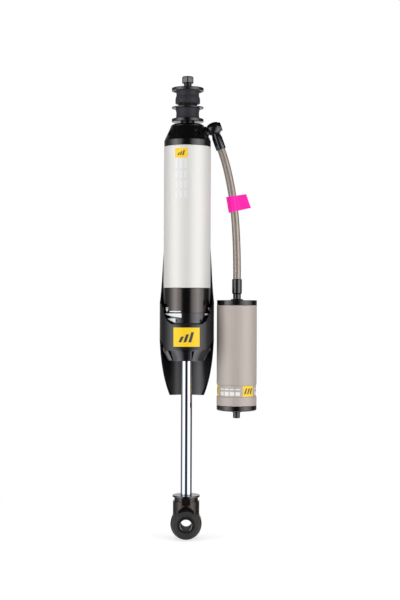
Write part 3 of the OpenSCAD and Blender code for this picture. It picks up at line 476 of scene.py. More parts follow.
def rounded(node, finish, width, segments=3, angle=32):
    """A copy of a CAD node with its edges broken, as a turned or moulded piece has them."""
    bm = bmesh.new()
    bm.from_mesh(NODES[node].data)
    bmesh.ops.remove_doubles(bm, verts=bm.verts, dist=0.002 * MM)
    bmesh.ops.dissolve_limit(
        bm, angle_limit=math.radians(0.6), verts=bm.verts, edges=bm.edges, delimit={"NORMAL"})
    mesh = mesh_from(node, bm, closed=False, unit=1)
    mesh.materials.append(finish_of(finish))
    obj = link_new(node + "_piece", mesh)
    modify(
        obj, "BEVEL", width=width * MM, segments=segments, limit_method="ANGLE",
        angle_limit=math.radians(angle), use_clamp_overlap=True, miter_outer="MITER_ARC")
    smooth(obj.data, 40)
    modify(obj, "WEIGHTED_NORMAL", keep_sharp=True, weight=100)
    return stand_for(obj, node)


def closed_loft(name, rings):
    """A mesh through closed rings of points, the last of which joins the first."""
    bm = bmesh.new()
    rings = [[bm.verts.new(point) for point in ring] for ring in rings]
    count = len(rings[0])
    for ring, following in zip(rings, rings[1:] + rings[:1]):
        for k in range(count):
            bm.faces.new((ring[k], following[k], following[(k + 1) % count], ring[(k + 1) % count]))
    return mesh_from(name, bm)


def turned(node, profile, finish, place=Matrix(), name=None):
    """A solid of revolution that stands for a node, from a closed loop of (radius, height)."""
    segments = 160
    angles = (2 * math.pi * step / segments for step in range(segments))
    name = name or node + "_piece"
    mesh = closed_loft(name, [[(r * math.cos(a), r * math.sin(a), z) for r, z in profile] for a in angles])
    mesh.transform(place)
    return stand_for(object_from(name, mesh, finish, 35), node)


def corner_arc(points, radius, steps=5):
    """Rounds every corner of a closed outline of (x, y) points with an arc of at most that radius."""
    result = []
    count = len(points)
    for k in range(count):
        before, here, after = (Vector(points[(k + d) % count]) for d in (-1, 0, 1))
        to_before, to_after = before - here, after - here
        reach = min(radius, to_before.length / 2.2, to_after.length / 2.2)
        start, end = here + to_before.normalized() * reach, here + to_after.normalized() * reach
        for step in range(steps + 1):
            t = step / steps
            result.append(tuple((1 - t) ** 2 * start + 2 * t * (1 - t) * here + t ** 2 * end))
    return result


def wrapped_mesh(name, outlines, radius, height):
    """Flat outlines of (arc, z), bent round an upright cylinder and given a thickness outwards."""
    strip = 1.5
    bm = bmesh.new()
    for outline in outlines:
        bm.faces.new([bm.verts.new((u, 0, z)) for u, z in outline])
    low = min(vert.co.x for vert in bm.verts)
    high = max(vert.co.x for vert in bm.verts)
    for k in range(1, math.ceil((high - low) / strip)):
        bmesh.ops.bisect_plane(
            bm, geom=bm.verts[:] + bm.edges[:] + bm.faces[:], plane_co=(low + k * strip, 0, 0),
            plane_no=(1, 0, 0))
    top = bmesh.ops.extrude_face_region(bm, geom=bm.faces[:])
    for item in top["geom"]:
        if isinstance(item, bmesh.types.BMVert):
            item.co.y = 1.0
    for vert in bm.verts:
        reach = radius + height * vert.co.y
        angle = vert.co.x / radius
        vert.co = (reach * math.sin(angle), -reach * math.cos(angle), vert.co.z)
    return mesh_from(name, bm)


def wrapped(name, outlines, radius, finish, node, height=None):
    """A printed mark bent round a cylinder, on a CAD node's body."""
    mesh = wrapped_mesh(name, outlines, radius, height or sizes().print_height / MM)
    go_with(object_from(name, mesh, finish), node)


def rectangle(left, right, bottom, top):
    """Corners of an upright rectangle, anticlockwise."""
    return [(left, bottom), (right, bottom), (right, top), (left, top)]


def chevron(left, right, bottom, top, thickness):
    """A leaning bar: the parallelogram of the plain motif on the badges."""
    return [(left, bottom), (left + thickness, bottom), (right, top), (right - thickness, top)]


def on_arc(degrees, radius=BODY_R):
    """Arc length from the front line to an angle, on a cylinder of that radius."""
    return math.radians(degrees) * radius


# ---- Geometry Nodes: sizes are in metres ----


def node_group(name, **sockets):
    """A Geometry Nodes tree with a material and other named inputs. Returns it and what its inputs give."""
    group = bpy.data.node_groups.new(name, "GeometryNodeTree")
    for side in ("INPUT", "OUTPUT"):
        group.interface.new_socket("Geometry", in_out=side, socket_type="NodeSocketGeometry")
    for label, kind in (*sockets.items(), ("Material", "Material")):
        group.interface.new_socket(label, in_out="INPUT", socket_type="NodeSocket" + kind)
    return group, add_node(group, "NodeGroupInput").outputs


def close_tree(group, given, geometry):
    """Ends a tree with Realize Instances and Set Material."""
    real = add_node(group, "GeometryNodeRealizeInstances", {"Geometry": geometry})
    painted = add_node(group, "GeometryNodeSetMaterial", {"Geometry": real, "Material": given["Material"]})
    add_node(group, "NodeGroupOutput", {"Geometry": painted})
    return group


def grow(seed, group, finish, **values):
    """Runs a Geometry Nodes tree on a seed object, keeps the plain mesh and removes the seed."""
    values["Material"] = finish_of(finish)
    modifier = seed.modifiers.new(group.name, "NODES")
    modifier.node_group = group
    for item in group.interface.items_tree:
        if item.item_type == "SOCKET" and item.name in values:
            modifier[item.identifier] = values[item.name]
    mesh = evaluated_mesh(seed)
    bpy.data.objects.remove(seed)
    return mesh


def braid_tree():
    """A tube along a curve whose skin is woven: two sets of strands wind opposite ways, over and under."""
    group, given = node_group(
        "braided_hose", Diameter="Float", Pitch="Float", Strands="Float", Relief="Float")
    diameter, pitch, strands, relief = (given[k] for k in ("Diameter", "Pitch", "Strands", "Relief"))
    samples_per_strand, crown_sharpness = 7, 0.6
    sides = ("MULTIPLY", strands, samples_per_strand)
    path = add_node(
        group, "GeometryNodeResampleCurve", {"Curve": given["Geometry"], "Length": ("DIVIDE", pitch, sides)},
        mode="LENGTH")
    ring = add_node(group, "GeometryNodeCurvePrimitiveCircle", {
        "Resolution": sides, "Radius": ("SUBTRACT", ("DIVIDE", diameter, 2), relief)})
    spline = add_node(group, "GeometryNodeSplineParameter").outputs
    path, ring = (
        add_node(group, "GeometryNodeStoreNamedAttribute", {
            "Name": name, "Geometry": curve, "Value": spline[measure]}, domain="POINT")
        for name, curve, measure in (("along", path, "Length"), ("around", ring, "Factor")))
    tube = add_node(group, "GeometryNodeCurveToMesh", {
        "Curve": path, "Profile Curve": ring, "Fill Caps": True})
    along, around, stored_crown = (
        add_node(group, "GeometryNodeInputNamedAttribute", {"Name": name})
        for name in ("along", "around", "crown"))
    turns = ("DIVIDE", along, pitch)
    right_hand = ("MULTIPLY", ("ADD", around, turns), strands)
    left_hand = ("MULTIPLY", ("SUBTRACT", around, turns), strands)
    right_crown, left_crown = (
        ("ABSOLUTE", ("SINE", ("MULTIPLY", phase, math.pi))) for phase in (right_hand, left_hand))
    parity = ("FLOORED_MODULO", ("ADD", ("FLOOR", right_hand), ("FLOOR", left_hand)), 2)
    over = ("MULTIPLY", right_crown, parity)
    under = ("MULTIPLY", left_crown, ("SUBTRACT", 1, parity))
    crowned = add_node(group, "GeometryNodeStoreNamedAttribute", {
        "Name": "crown", "Geometry": tube, "Value": ("POWER", ("ADD", over, under), crown_sharpness)},
        domain="POINT")
    normal = add_node(group, "GeometryNodeInputNormal")
    outwards = add_node(
        group, "ShaderNodeVectorMath", {0: normal, "Scale": ("MULTIPLY", stored_crown, relief)},
        operation="SCALE")
    woven = add_node(group, "GeometryNodeSetPosition", {"Geometry": crowned, "Offset": outwards})
    return close_tree(group, given, woven)


def thread_tree():
    """A ridge that winds up a stud: one turn each pitch, over a given length."""
    group, given = node_group("thread", Radius="Float", Length="Float", Pitch="Float")
    radius, length, pitch = (given[k] for k in ("Radius", "Length", "Pitch"))
    ridge_share = 0.42
    helix = add_node(group, "GeometryNodeCurveSpiral", {
        "Resolution": 48, "Rotations": ("DIVIDE", length, pitch), "Start Radius": radius,
        "End Radius": radius, "Height": length})
    ridge = add_node(group, "GeometryNodeCurvePrimitiveCircle", {
        "Resolution": 6, "Radius": ("MULTIPLY", pitch, ridge_share)})
    wound = add_node(group, "GeometryNodeCurveToMesh", {
        "Curve": helix, "Profile Curve": ridge, "Fill Caps": True})
    return close_tree(group, given, wound)


def ring_of_copies_tree():
    """Copies of a piece, evenly turned about an upright axis."""
    group, given = node_group("ring_of_copies", Copies="Int", Axis="Vector")
    index = add_node(group, "GeometryNodeInputIndex").outputs[0]
    points = add_node(group, "GeometryNodePoints", {"Count": given["Copies"], "Position": given["Axis"]})
    spin = add_node(group, "ShaderNodeCombineXYZ", {
        "Z": ("MULTIPLY", ("DIVIDE", index, given["Copies"]), 2 * math.pi)})
    placed = add_node(group, "GeometryNodeInstanceOnPoints", {
        "Points": points, "Instance": given["Geometry"], "Rotation": spin})
    return close_tree(group, given, placed)


# ---- Pieces ----


def smooth_route(per_span=4):
    """The hose's centreline: the route's points joined by one smooth curve, in metres."""
    points = [Vector((x, 0, z)) for x, z in HOSE_ROUTE]
    line = []
    for k in range(len(points) - 1):
        before = points[max(k - 1, 0)]
        start, end = points[k], points[k + 1]
        after = points[min(k + 2, len(points) - 1)]
        for step in range(per_span):
            t = step / per_span
            line.append(0.5 * (
                2 * start + (end - before) * t + (2 * before - 5 * start + 4 * end - after) * t ** 2
                + (3 * start - before - 3 * end + after) * t ** 3))
    return line + [points[-1]]


def curve_object(name, points):
    """A poly curve through points."""
    curve = bpy.data.curves.new(name, "CURVE")
    curve.dimensions = "3D"
    spline = curve.splines.new("POLY")
    spline.points.add(len(points) - 1)
    for point, place in zip(spline.points, points):
        point.co = (*place, 1)
    return link_new(name, curve)


class SHOCK_OT_hose(bpy.types.Operator):
    """Braided hose from the top cap's elbow to the reservoir"""

    bl_idname = "shock.hose"
    bl_label = "Braided hose"

    def execute(self, context):
        line = smooth_route()
        mesh = grow(
            curve_object("hose_guide", line), braid_tree(), "steel_braid", Diameter=sizes().hose_diameter,
            Pitch=sizes().braid_pitch, Strands=float(sizes().braid_strands), Relief=sizes().braid_relief)
        hose = stand_for(object_from("hose_braid", mesh, "steel_braid", 180), "hose")
        return {"FINISHED"}


class SHOCK_OT_tag(bpy.types.Operator):
    """Tape tag folded round the hose, its two ends stuck together as a flag"""

    bl_idname = "shock.tag"
    bl_label = "Tape tag"

    # The flag's corners, (x, z) in millimetres: two at its foot, then two at its head
    corners = ((66.4, 496.6), (101.9, 504.9), (94.2, 526.9), (61.9, 521.9))

    def execute(self, context):
        foot_left, foot_right, head_right, head_left = (Vector(corner) for corner in self.corners)
        line = [(point / MM).xz for point in smooth_route()]
        rows, columns, wave = 16, 64, 0.9
        bm = bmesh.new()
        for side in (-1, 1):
            grid = []
            for i in range(columns + 1):
                u = i / columns
                foot, head = foot_left.lerp(foot_right, u), head_left.lerp(head_right, u)
                column = []
                for j in range(rows + 1):
                    v = j / rows
                    place = foot.lerp(head, v)
                    flutter = wave * (2 * max(u - 0.5, 0)) ** 2 * math.sin(2.4 * v + 0.6)
                    column.append(bm.verts.new((place.x, side * self.depth(place, line) + flutter, place.y)))
                grid.append(column)
            for i in range(columns):
                for j in range(rows):
                    quad = (grid[i][j], grid[i + 1][j], grid[i + 1][j + 1], grid[i][j + 1])
                    bm.faces.new(quad if side < 0 else quad[::-1])
        tag = object_from("hose_tag_piece", mesh_from("hose_tag_piece", bm, closed=False), "tag_tape")
        modify(tag, "SOLIDIFY", thickness=0.2 * MM, offset=0)
        smooth(tag.data, 50)
        stand_for(tag, "hose_tag")
        return {"FINISHED"}

    def depth(self, place, line):
        """How far the tape lies from the middle plane: round the hose, pinched beside it, then flat."""
        loop_r = sizes().hose_diameter / MM / 2 + 0.35
        flat, pinch_width = 0.12, 1.6
        off = min(self.distance(place, start, end) for start, end in zip(line, line[1:]))
        pinch = 0.35 * loop_r * math.exp(-max(off - 0.9 * loop_r, 0) / pinch_width)
        return max(math.sqrt(max(loop_r ** 2 - off ** 2, 0)), pinch, flat)

    def distance(self, place, start, end):
        """Distance of a point from a line between two others."""
        t = (place - start).dot(end - start) / (end - start).length_squared
        return (place - start.lerp(end, min(max(t, 0), 1))).length


class SHOCK_OT_rod(bpy.types.Operator):
    """Lower eye with its bush, the collar and the chromed rod"""

    bl_idname = "shock.rod"
    bl_label = "Rod and lower eye"

    def execute(self, context):
        rounded("lower_eye", "coated_forging", 0.9)
        rounded("rod_collar", "ring_anodise", 0.4)
        rounded("piston_rod", "rod_chrome", 0.3)
        self.eye_bush()
        self.eye_sleeve()
        return {"FINISHED"}

    def eye_sleeve(self):
        """Steel sleeve in the bush, black inside, with a bare chamfer at each end."""
        half, outer = box_mm("eye_sleeve")[1].y, outer_radius("eye_sleeve")
        bore, chamfer, edge = 9.0, 0.9, 0.4
        side = [(bore, half - chamfer), (bore + chamfer, half), (outer - edge, half), (outer, half - edge)]
        outline = side + [(r, -h) for r, h in reversed(side)]
        sleeve = turned("eye_sleeve", outline, "phosphate_black_and_painted_shade", ALONG_Y)
        rim = bore + chamfer - 0.02
        finish_faces(
            sleeve, "bare_edge", lambda at: math.hypot(at.x, at.z) < rim and abs(at.y) > half - chamfer)

    def eye_bush(self):
        """Rubber bush: two flanges with a raised lip and a moulded groove, joined inside the ring."""
        half, flange_r = box_mm("eye_bush")[1].y, outer_radius("eye_bush")
        sleeve_r, core_r, ring_half = outer_radius("eye_sleeve"), 19.4, 17.1
        side = [
            (sleeve_r + 0.05, half - 1.2), (sleeve_r + 1.2, half - 0.9), (sleeve_r + 2.2, half),
            (flange_r - 4.2, half), (flange_r - 3.4, half - 0.7), (flange_r - 2.4, half - 0.7),
            (flange_r - 0.9, half - 1.0), (flange_r, half - 2.0), (flange_r - 0.3, ring_half + 0.1),
            (core_r, ring_half)]
        outline = side + [(r, -h) for r, h in reversed(side)]
        turned("eye_bush", corner_arc(outline, 0.6), "eye_rubber", ALONG_Y)


class SHOCK_OT_body(bpy.types.Operator):
    """Body tube, lower housing, gland nut, adjuster collars and top cap"""

    bl_idname = "shock.body"
    bl_label = "Damper body"

    def execute(self, context):
        rounded("body_tube", "silver_paint", 0.7)
        rounded("top_cap", "black_hardcoat", 0.4, angle=12)
        rounded("lower_housing", "phosphate_black_and_painted_shade", 0.4)
        rounded("gland_nut", "ring_anodise", 0.4)
        rounded("adjuster_sleeve", "black_anodise", 0.8)
        rounded("compression_adjuster", "ring_anodise", 0.5)
        rounded("rebound_adjuster", "ring_anodise", 0.8)
        return {"FINISHED"}


class SHOCK_OT_top_mount(bpy.types.Operator):
    """Stud, washers, rubber bushes and nut of the top mount"""

    bl_idname = "shock.top_mount"
    bl_label = "Top mount"

    def execute(self, context):
        for node in ("top_stud", "flat_washer", "upper_washer"):
            rounded(node, "black_plate", 0.45)
        rounded("lower_washer", "black_hardcoat", 0.8)
        self.nut()
        self.bush("lower_bush", spigot_h=0, straight=0)
        self.bush("upper_bush", spigot_h=5.8, straight=7.0)
        self.thread()
        return {"FINISHED"}

    def nut(self):
        """Hexagon nut with a corner to the front, its corners and both faces broken."""
        low, high = box_mm("top_nut")
        corner_r, bore = high.y, 6.05
        turns = (k * math.pi / 3 for k in range(6))
        outline = corner_arc([(corner_r * math.sin(a), -corner_r * math.cos(a)) for a in turns], 2.0)
        # Each level's height and its share of the full width, which makes the chamfers
        levels = (
            (low.z, 0.9), (low.z + 0.8, 0.985), (low.z + 1.2, 1.0), (high.z - 1.6, 1.0),
            (high.z - 1.2, 0.985), (high.z, 0.84))
        rings = [[(x * share, y * share, z) for x, y in outline] for z, share in levels]
        bore_ring = [Vector(point).normalized() * bore for point in outline]
        rings += [[(x, y, z) for x, y in bore_ring] for z in (high.z, low.z)]
        nut = object_from("top_nut_piece", closed_loft("top_nut_piece", rings), "ring_anodise", 35)
        stand_for(nut, "top_nut")

    def bush(self, node, spigot_h, straight):
        """Rubber bush with full lips, a waist over its straight foot, a mould line and perhaps a spigot,
        whose rubber is painted dark as shade.
        """
        low, high = box_mm(node)
        end_r, bore_r, spigot_r = outer_radius(node), 8.05, 15.0
        waist, mould_line, levels = 1.65, 0.3, 32
        foot = low.z + spigot_h
        height = high.z - foot
        side = [(end_r - 0.9, foot), (end_r - 0.3, foot + 0.6), (end_r - 0.2, foot + 1.4)]
        for k in range(1, levels):
            t = k / levels
            if t * height > 1.6:
                above = max(t * height - straight, 0) / (height - straight)
                line = mould_line * math.exp(-((t - 0.45) / 0.04) ** 2)
                side.append((end_r - 0.2 - waist * math.sin(math.pi * above) + line, foot + height * t))
        side.append((end_r - 0.4, high.z))
        spigot = [(spigot_r, low.z), (spigot_r, foot)] if spigot_h else []
        outline = [(bore_r, low.z)] + spigot + side + [(bore_r, high.z)]
        bush = turned(node, outline, "bush_rubber")
        # Painted shade: the spigot's rubber faces get the dark phosphate black, for the shade between the
        # washers
        if spigot_h:
            rim = spigot_r + 0.1
            finish_faces(bush, "phosphate_black_and_painted_shade", lambda at: math.hypot(at.x, at.y) < rim and at.z < foot)

    def thread(self):
        """Thread turns on the stud between the upper washer and the nut."""
        foot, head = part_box("upper_washer")[1].z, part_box("top_nut")[0].z
        ridge_r, gap = 5.85 * MM, 0.3 * MM
        seed = object_from("thread_seed", bpy.data.meshes.new("thread_seed"), "black_plate")
        mesh = grow(
            seed, thread_tree(), "black_plate", Radius=ridge_r, Length=head - foot - 2 * gap,
            Pitch=sizes().thread_pitch)
        mesh.transform(Matrix.Translation((0, 0, foot + gap)))
        go_with(object_from("stud_thread", mesh, "black_plate", 60), "top_stud")


class SHOCK_OT_elbow(bpy.types.Operator):
    """Banjo elbow, its bolt and washers, and the hose's two ferrules"""

    bl_idname = "shock.elbow"
    bl_label = "Hose fittings"

    def execute(self, context):
        rounded("banjo_bolt", "ring_anodise", 1.3)
        rounded("lower_ferrule", "ring_anodise", 0.5)
        rounded("reservoir_fitting", "ring_anodise", 0.4)
        dress("banjo_washers", "ring_anodise")
        self.banjo()
        self.upper_ferrule()
        return {"FINISHED"}

    def banjo(self):
        """Forged eye round the banjo bolt: almost a ball, bored through, with a lip over the washer."""
        back, front, widest, bore = -9.6, 8.0, 10.5, 5.05
        middle, stretch, steps = 0.8, 15, 16
        side = []
        for k in range(steps + 1):
            x = back + (front - back) * k / steps
            side.append((widest * math.sqrt(1 - ((x - middle) / stretch) ** 2), x))
        washer_r, lip = 7.05, 0.9
        lip_r = side[-1][0] - 0.3
        # The first corner's six points are left out, because the outline closes through the bore instead
        outline = [(bore, back)] + corner_arc(side, 0.8)[6:] + [
            (lip_r, front + lip), (washer_r, front + lip), (washer_r, front), (bore, front)]
        turned("banjo_fitting", outline, "ring_anodise", AT_PORT @ ALONG_X, "banjo_piece")

    def upper_ferrule(self):
        """Crimped ferrule whose neck grows out of the banjo's eye."""
        reach, radius, nipple, neck_r, neck_h = 34.8, 8.1, 3.05, 6.6, 8.4
        outline = [
            (nipple, -reach), (radius - 0.6, -reach), (radius, -reach + 0.7), (radius, -15.2),
            (radius - 0.5, -13.6), (neck_r + 0.4, -10.6), (neck_r, -neck_h), (nipple, -neck_h)]
        turned("upper_ferrule", outline, "ring_anodise", AT_PORT)


class SHOCK_OT_reservoir(bpy.types.Operator):
    """Reservoir tube, its caps, printed band and gas valve"""

    bl_idname = "shock.reservoir"
    bl_label = "Reservoir"

    def execute(self, context):
        rounded("reservoir_tube", "warm_grey_anodise", 0.4)
        rounded("reservoir_top_cap", "black_hardcoat", 0.8)
        rounded("reservoir_bottom_cap", "black_hardcoat", 0.8)
        rounded("gas_valve", "black_plate", 0.4)
        rounded("valve_cap", "black_plate", 0.6)
        dress("reservoir_label", "warm_grey_anodise")
        self.band()
        return {"FINISHED"}

    def band(self):
        """Plain blocks and bars on the band, three times round."""
        low, high = box_mm("reservoir_label")
        radius, height = outer_radius("reservoir_label"), sizes().print_height / MM
        foot, head = low.z + 0.8, high.z - 0.8
        blocks = [rectangle(on_arc(17, radius), on_arc(54, radius), foot, head)]
        lefts = [on_arc(degrees, radius) for degrees in (20.5, 30, 39.5)]
        bars = [chevron(left, left + 6.0, foot + 4, head - 4, 2.6) for left in lefts]
        words = []
        for degrees in (-56, -39, -22, -5):
            left = on_arc(degrees, radius)
            for start, end in ((1.5, 7.5), (10.5, 12.5)):
                words.append(rectangle(left, left + 7.2, foot + start, foot + end))
        for name, outlines, base_r, finish in (
                ("band_blocks", blocks, radius, "badge_yellow"),
                ("band_bars", bars, radius + height, "badge_dark"),
                ("band_words", words, radius, "mark_white")):
            seed = object_from(name + "_seed", wrapped_mesh(name, outlines, base_r, height), finish)
            made = grow(seed, ring_of_copies_tree(), finish, Copies=3, Axis=(RESERVOIR_X, 0, 0))
            go_with(object_from(name, made, finish), "reservoir_label")


class SHOCK_OT_guard(bpy.types.Operator):
    """Front yoke and rear shield of the stone guard, with their screws"""

    bl_idname = "shock.guard"
    bl_label = "Stone guard"

    def execute(self, context):
        for node in ("guard_yoke", "guard_shield"):
            rounded(node, "black_nylon", sizes().moulded_edge / MM)
        rounded("guard_screws", "zinc_steel", 0.25)
        return {"FINISHED"}


class SHOCK_OT_prints(bpy.types.Operator):
    """Badges on the guard and the body, and the marks of the adjusters"""

    bl_idname = "shock.prints"
    bl_label = "Badges and marks"

    def execute(self, context):
        rounded("guard_badge", "badge_yellow", 0.12, 2)
        rounded("body_badge", "badge_yellow", 0.12, 2)
        self.motif("guard_motif", "guard_badge", 1.0)
        self.motif("body_motif", "body_badge", 0.5)
        self.adjuster_marks()
        self.pointers()
        self.body_marks()
        return {"FINISHED"}

    def motif(self, name, badge, scale):
        """Three plain leaning bars of growing height, in the middle of a badge."""
        low, high = box_mm(badge)
        radius = max(math.hypot(v.co.x, v.co.y) for v in NODES[badge].data.vertices) / MM
        middle = math.asin((low.x + high.x) / 2 / radius) * radius
        foot = (low.z + high.z) / 2 - 8 * scale
        bars = []
        for k, tall in enumerate((9, 12.5, 16)):
            left = middle + (8 * k - 13) * scale
            bars.append(chevron(left, left + 9 * scale, foot, foot + tall * scale, 4.5 * scale))
        wrapped(name, bars, radius, "badge_dark", badge)

    def adjuster_marks(self):
        """White wedges that show which way each collar gets firmer, and a bar on one of them."""
        for node, wedge, bar in (
                ("rebound_adjuster", (-79, -12.5), (50, 76)), ("compression_adjuster", (-56, -28), None)):
            low, high = box_mm(node)
            foot, head = low.z + 0.7, high.z - 0.6
            left, right = map(on_arc, wedge)
            outlines = [[(left, head - 0.7), (right, foot), (right, head), (left, head)]]
            if bar:
                outlines.append(rectangle(*map(on_arc, bar), head - 2.6, head))
            wrapped(node + "_marks", outlines, BODY_R, "mark_white", node)

    def pointers(self):
        """Arrow heads with a bar over each, and one long bar, on the sleeve over the collars."""
        foot = box_mm("adjuster_sleeve")[0].z
        tip, wing_top, bar_foot, bar_top = (foot + h for h in (1.4, 7.0, 7.7, 8.8))
        wing, bar = 4.2, 3.8
        marks = []
        for middle in map(on_arc, (-57, 70)):
            marks.append([(middle, tip), (middle + wing, wing_top), (middle - wing, wing_top)])
            marks.append(rectangle(middle - bar, middle + bar, bar_foot, bar_top))
        marks.append(rectangle(on_arc(-46), on_arc(-14), foot + 1.6, foot + 3.2))
        wrapped("sleeve_marks", marks, BODY_R, "mark_white", "adjuster_sleeve")

    def body_marks(self):
        """Pale bars down the body under its badge: four rows of three strokes."""
        badge_foot = box_mm("body_badge")[0].z
        left, right = on_arc(-30), on_arc(-1)
        width = (right - left) / 5
        bars = []
        for below, tall in ((3, 14), (21.2, 11.5), (36.4, 11.5), (51.6, 11.5)):
            head = badge_foot - below
            for k in (0, 2, 4):
                bars.append(rectangle(left + k * width, left + (k + 1) * width, head - tall, head))
        wrapped("body_bars", bars, BODY_R, "mark_pale", "body_tube", height=0.05)


class SHOCK_OT_inner_parts(bpy.types.Operator):
    """Finishes of the parts inside the body and the reservoir"""

    bl_idname = "shock.inner_parts"
    bl_label = "Inner parts"

    finishes = {
        "bush_rubber": ("top_out_bumper", "rod_wiper", "rod_seal", "guide_seal", "top_cap_seal",
                        "reservoir_seals", "floating_piston_seal"),
        "zinc_steel": ("rebound_shims", "piston", "compression_shims", "piston_nut", "rod_guide",
                       "floating_piston"),
        "dark_steel": ("inner_cylinder",),
        "bearing_bronze": ("piston_band", "guide_bearing"),
    }

    def execute(self, context):
        for finish, nodes in self.finishes.items():
            for node in nodes:
                dress(node, finish)
        return {"FINISHED"}


# ---- Studio ----


def softbox(name, azimuth, width_degrees, strength):
    """A tall area lamp that faces the shock's axis from an azimuth, 0 in front and 90 at the right."""
    low, high, distance = -0.5, 1.5, 2.5
    lamp = bpy.data.lights.new(name, "AREA")
    lamp.shape = "RECTANGLE"
    lamp.size = 2 * distance * math.tan(math.radians(width_degrees / 2))
    lamp.size_y = high - low
    lamp.energy = strength * lamp.size * lamp.size_y * math.pi
    obj = link_new(name, lamp)
    angle = math.radians(azimuth)
    obj.location = (distance * math.sin(angle), -distance * math.cos(angle), (low + high) / 2)
    obj.rotation_euler = (math.radians(90), 0, angle)
    obj.visible_glossy = False


def light_tent(levels, roof_level=0.02):
    """A round wall, roof and floor about the shock that only reflections see.

    levels lists (azimuth, brightness), from -180 to 180 degrees. Under its sill the wall is white paper at
    the back, and dimmer than above elsewhere.
    """
    radius, bottom, sill, top, fade = 2.7, -4.0, -0.6, 2.2, 0.3
    paper_level, paper_from, dimmed = 1.4, 100, 0.8
    bm = bmesh.new()
    layer = bm.verts.layers.float.new("level")
    columns = []
    for azimuth, level in levels:
        angle = math.radians(azimuth)
        paper = paper_level if abs(azimuth) > paper_from else dimmed * level
        column = []
        for height, shown in ((bottom, paper), (sill - fade, paper), (sill, level), (top, level)):
            vert = bm.verts.new((radius * math.sin(angle), -radius * math.cos(angle), height))
            vert[layer] = shown
            column.append(vert)
        columns.append(column)
    for a, b in zip(columns, columns[1:]):
        for k in range(3):
            bm.faces.new((a[k], b[k], b[k + 1], a[k + 1]))
    for end in (0, -1):
        rim = [bm.verts.new(column[end].co) for column in columns[:-1]]
        for vert in rim:
            vert[layer] = roof_level
        bm.faces.new(rim)
    tent = link_new("light_tent", mesh_from("light_tent", bm, closed=False, unit=1))
    material = bpy.data.materials.new("light_tent")
    tree = empty_tree(material)
    level = add_node(tree, "ShaderNodeAttribute", attribute_name="level").outputs["Fac"]
    glow = add_node(tree, "ShaderNodeEmission", {"Color": (1, 1, 1, 1), "Strength": level})
    add_node(tree, "ShaderNodeOutputMaterial", {"Surface": glow})
    tent.data.materials.append(material)
    for ray in ("camera", "diffuse", "shadow", "transmission"):
        setattr(tent, "visible_" + ray, False)
    tent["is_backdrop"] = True


def white_floor(height):
    """A pale floor that fades to plain white away from the shock and keeps its shadow."""
    bpy.ops.mesh.primitive_circle_add(vertices=96, radius=6, fill_type="NGON", location=(0, 0, height))
    floor = bpy.context.object
    floor.name = "floor"
    material = bpy.data.materials.new("floor_paper")
    tree = empty_tree(material)
    place = add_node(tree, "ShaderNodeTexCoord").outputs["Object"]
    away = add_node(tree, "ShaderNodeVectorMath", {0: place}, operation="LENGTH").outputs["Value"]
    fade = add_node(
        tree, "ShaderNodeMapRange", {"Value": away, "From Min": 0.1, "From Max": 0.55},
        interpolation_type="SMOOTHSTEP")
    seen = add_node(tree, "ShaderNodeLightPath").outputs["Is Camera Ray"]
    paper = add_node(tree, "ShaderNodeBsdfPrincipled", {
        "Base Color": (0.85, 0.85, 0.85, 1), "Roughness": 0.9, "Emission Color": (1, 1, 1, 1),
        "Emission Strength": ("MULTIPLY", seen, 0.55)})
    white = add_node(tree, "ShaderNodeEmission", {"Color": (1, 1, 1, 1), "Strength": 1.0})
    mixed = add_node(tree, "ShaderNodeMixShader", {0: ("MULTIPLY", fade, seen), 1: paper, 2: white})
    add_node(tree, "ShaderNodeOutputMaterial", {"Surface": mixed})
    floor.data.materials.append(material)
    floor.visible_glossy = False
    floor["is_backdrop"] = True


def studio_world(diffuse_level):
    """White where the camera, reflections and glass see it, and a soft even fill on matt surfaces."""
    world = bpy.data.worlds.new("studio")
    bpy.context.scene.world = world
    tree = empty_tree(world)
    ray = add_node(tree, "ShaderNodeLightPath").outputs
    seen = ("MAXIMUM", ("MAXIMUM", ray["Is Camera Ray"], ray["Is Glossy Ray"]), ray["Is Transmission Ray"])
    level = add_node(tree, "ShaderNodeMapRange", {"Value": seen, "To Min": diffuse_level, "To Max": 1.0})
    sky = add_node(tree, "ShaderNodeBackground", {"Color": (1, 1, 1, 1), "Strength": level})
    add_node(tree, "ShaderNodeOutputWorld", {"Surface": sky})


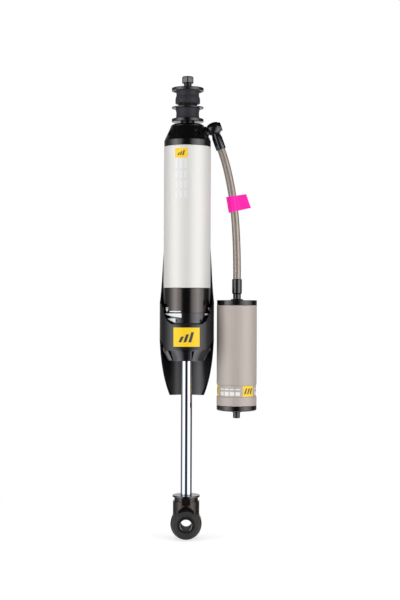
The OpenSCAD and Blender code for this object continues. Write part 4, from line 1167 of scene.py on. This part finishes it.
class SHOCK_OT_stage(bpy.types.Operator):
    """Camera, softboxes, light tent, white background and floor"""

    bl_idname = "shock.stage"
    bl_label = "Studio"

    # Brightness of the tent's wall by azimuth: two softboxes, bright in the middle, black cloth between and
    # beside them, and white paper behind
    tent_levels = (
        (-180, 1.1), (-168, 0.6), (-150, 0.25), (-135, 0.15), (-118, 0.15), (-102, 0.3), (-90, 0.7),
        (-79, 1.5), (-67, 2.5), (-57, 3.2), (-48, 2.4), (-38, 1.6), (-31, 1.4), (-27, 0.9), (-22, 0.04),
        (-8, 0.02), (15, 0.02), (20, 0.8), (26, 1.3), (34, 1.9), (44, 2.4), (54, 3.2), (64, 2.5), (75, 1.8),
        (86, 1.3), (93, 0.3), (101, 0.05), (122, 0.05), (140, 0.2), (162, 0.4), (180, 1.1))

    def execute(self, context):
        context.scene.view_settings.view_transform = "Standard"
        studio_world(diffuse_level=0.4)
        softbox("softbox_left", azimuth=-56, width_degrees=70, strength=2.15)
        softbox("softbox_right", azimuth=56, width_degrees=75, strength=2.15)
        light_tent(self.tent_levels)
        white_floor(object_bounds()[0].z - 0.2 * MM)
        self.camera(context.scene)
        return {"FINISHED"}

    def camera(self, scene):
        """A level long lens in front of the shock, rolled a little as the product stands."""
        data = bpy.data.cameras.new("camera")
        data.lens = 76.1
        data.sensor_width = 36
        camera = link_new("camera", data)
        camera.matrix_world = (
            Matrix.Translation((0.0209, -2.03, 0.3571))
            @ Matrix.Rotation(math.radians(90), 4, "X") @ Matrix.Rotation(math.radians(0.23), 4, "Z"))
        scene.camera = camera


class SHOCK_PT_panel(bpy.types.Panel):
    """Lists the steps that dress the shock absorber"""

    bl_label = "Shock absorber"
    bl_idname = "SHOCK_PT_panel"
    bl_space_type = "VIEW_3D"
    bl_region_type = "UI"
    bl_category = "Shock"

    def draw(self, context):
        for operator in OPERATORS:
            self.layout.operator(operator.bl_idname)
        for group in (sizes(), colours()):
            for name in group.__annotations__:
                self.layout.prop(group, name)


OPERATORS = (
    SHOCK_OT_stage, SHOCK_OT_hose, SHOCK_OT_tag, SHOCK_OT_elbow, SHOCK_OT_body, SHOCK_OT_rod,
    SHOCK_OT_top_mount, SHOCK_OT_reservoir, SHOCK_OT_guard, SHOCK_OT_prints, SHOCK_OT_inner_parts,
)
CLASSES = (ShockSizes, ShockColours, *OPERATORS, SHOCK_PT_panel)


def register():
    for cls in CLASSES:
        bpy.utils.register_class(cls)
    bpy.types.Scene.shock_sizes = PointerProperty(type=ShockSizes)
    bpy.types.Scene.shock_colours = PointerProperty(type=ShockColours)


def unregister():
    del bpy.types.Scene.shock_colours
    del bpy.types.Scene.shock_sizes
    for cls in reversed(CLASSES):
        bpy.utils.unregister_class(cls)


def main():
    """Dresses the frame step by step."""
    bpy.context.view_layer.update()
    register()
    for operator in OPERATORS:
        group, name = operator.bl_idname.split(".")
        getattr(getattr(bpy.ops, group), name)()


if __name__ == "__main__":
    main()
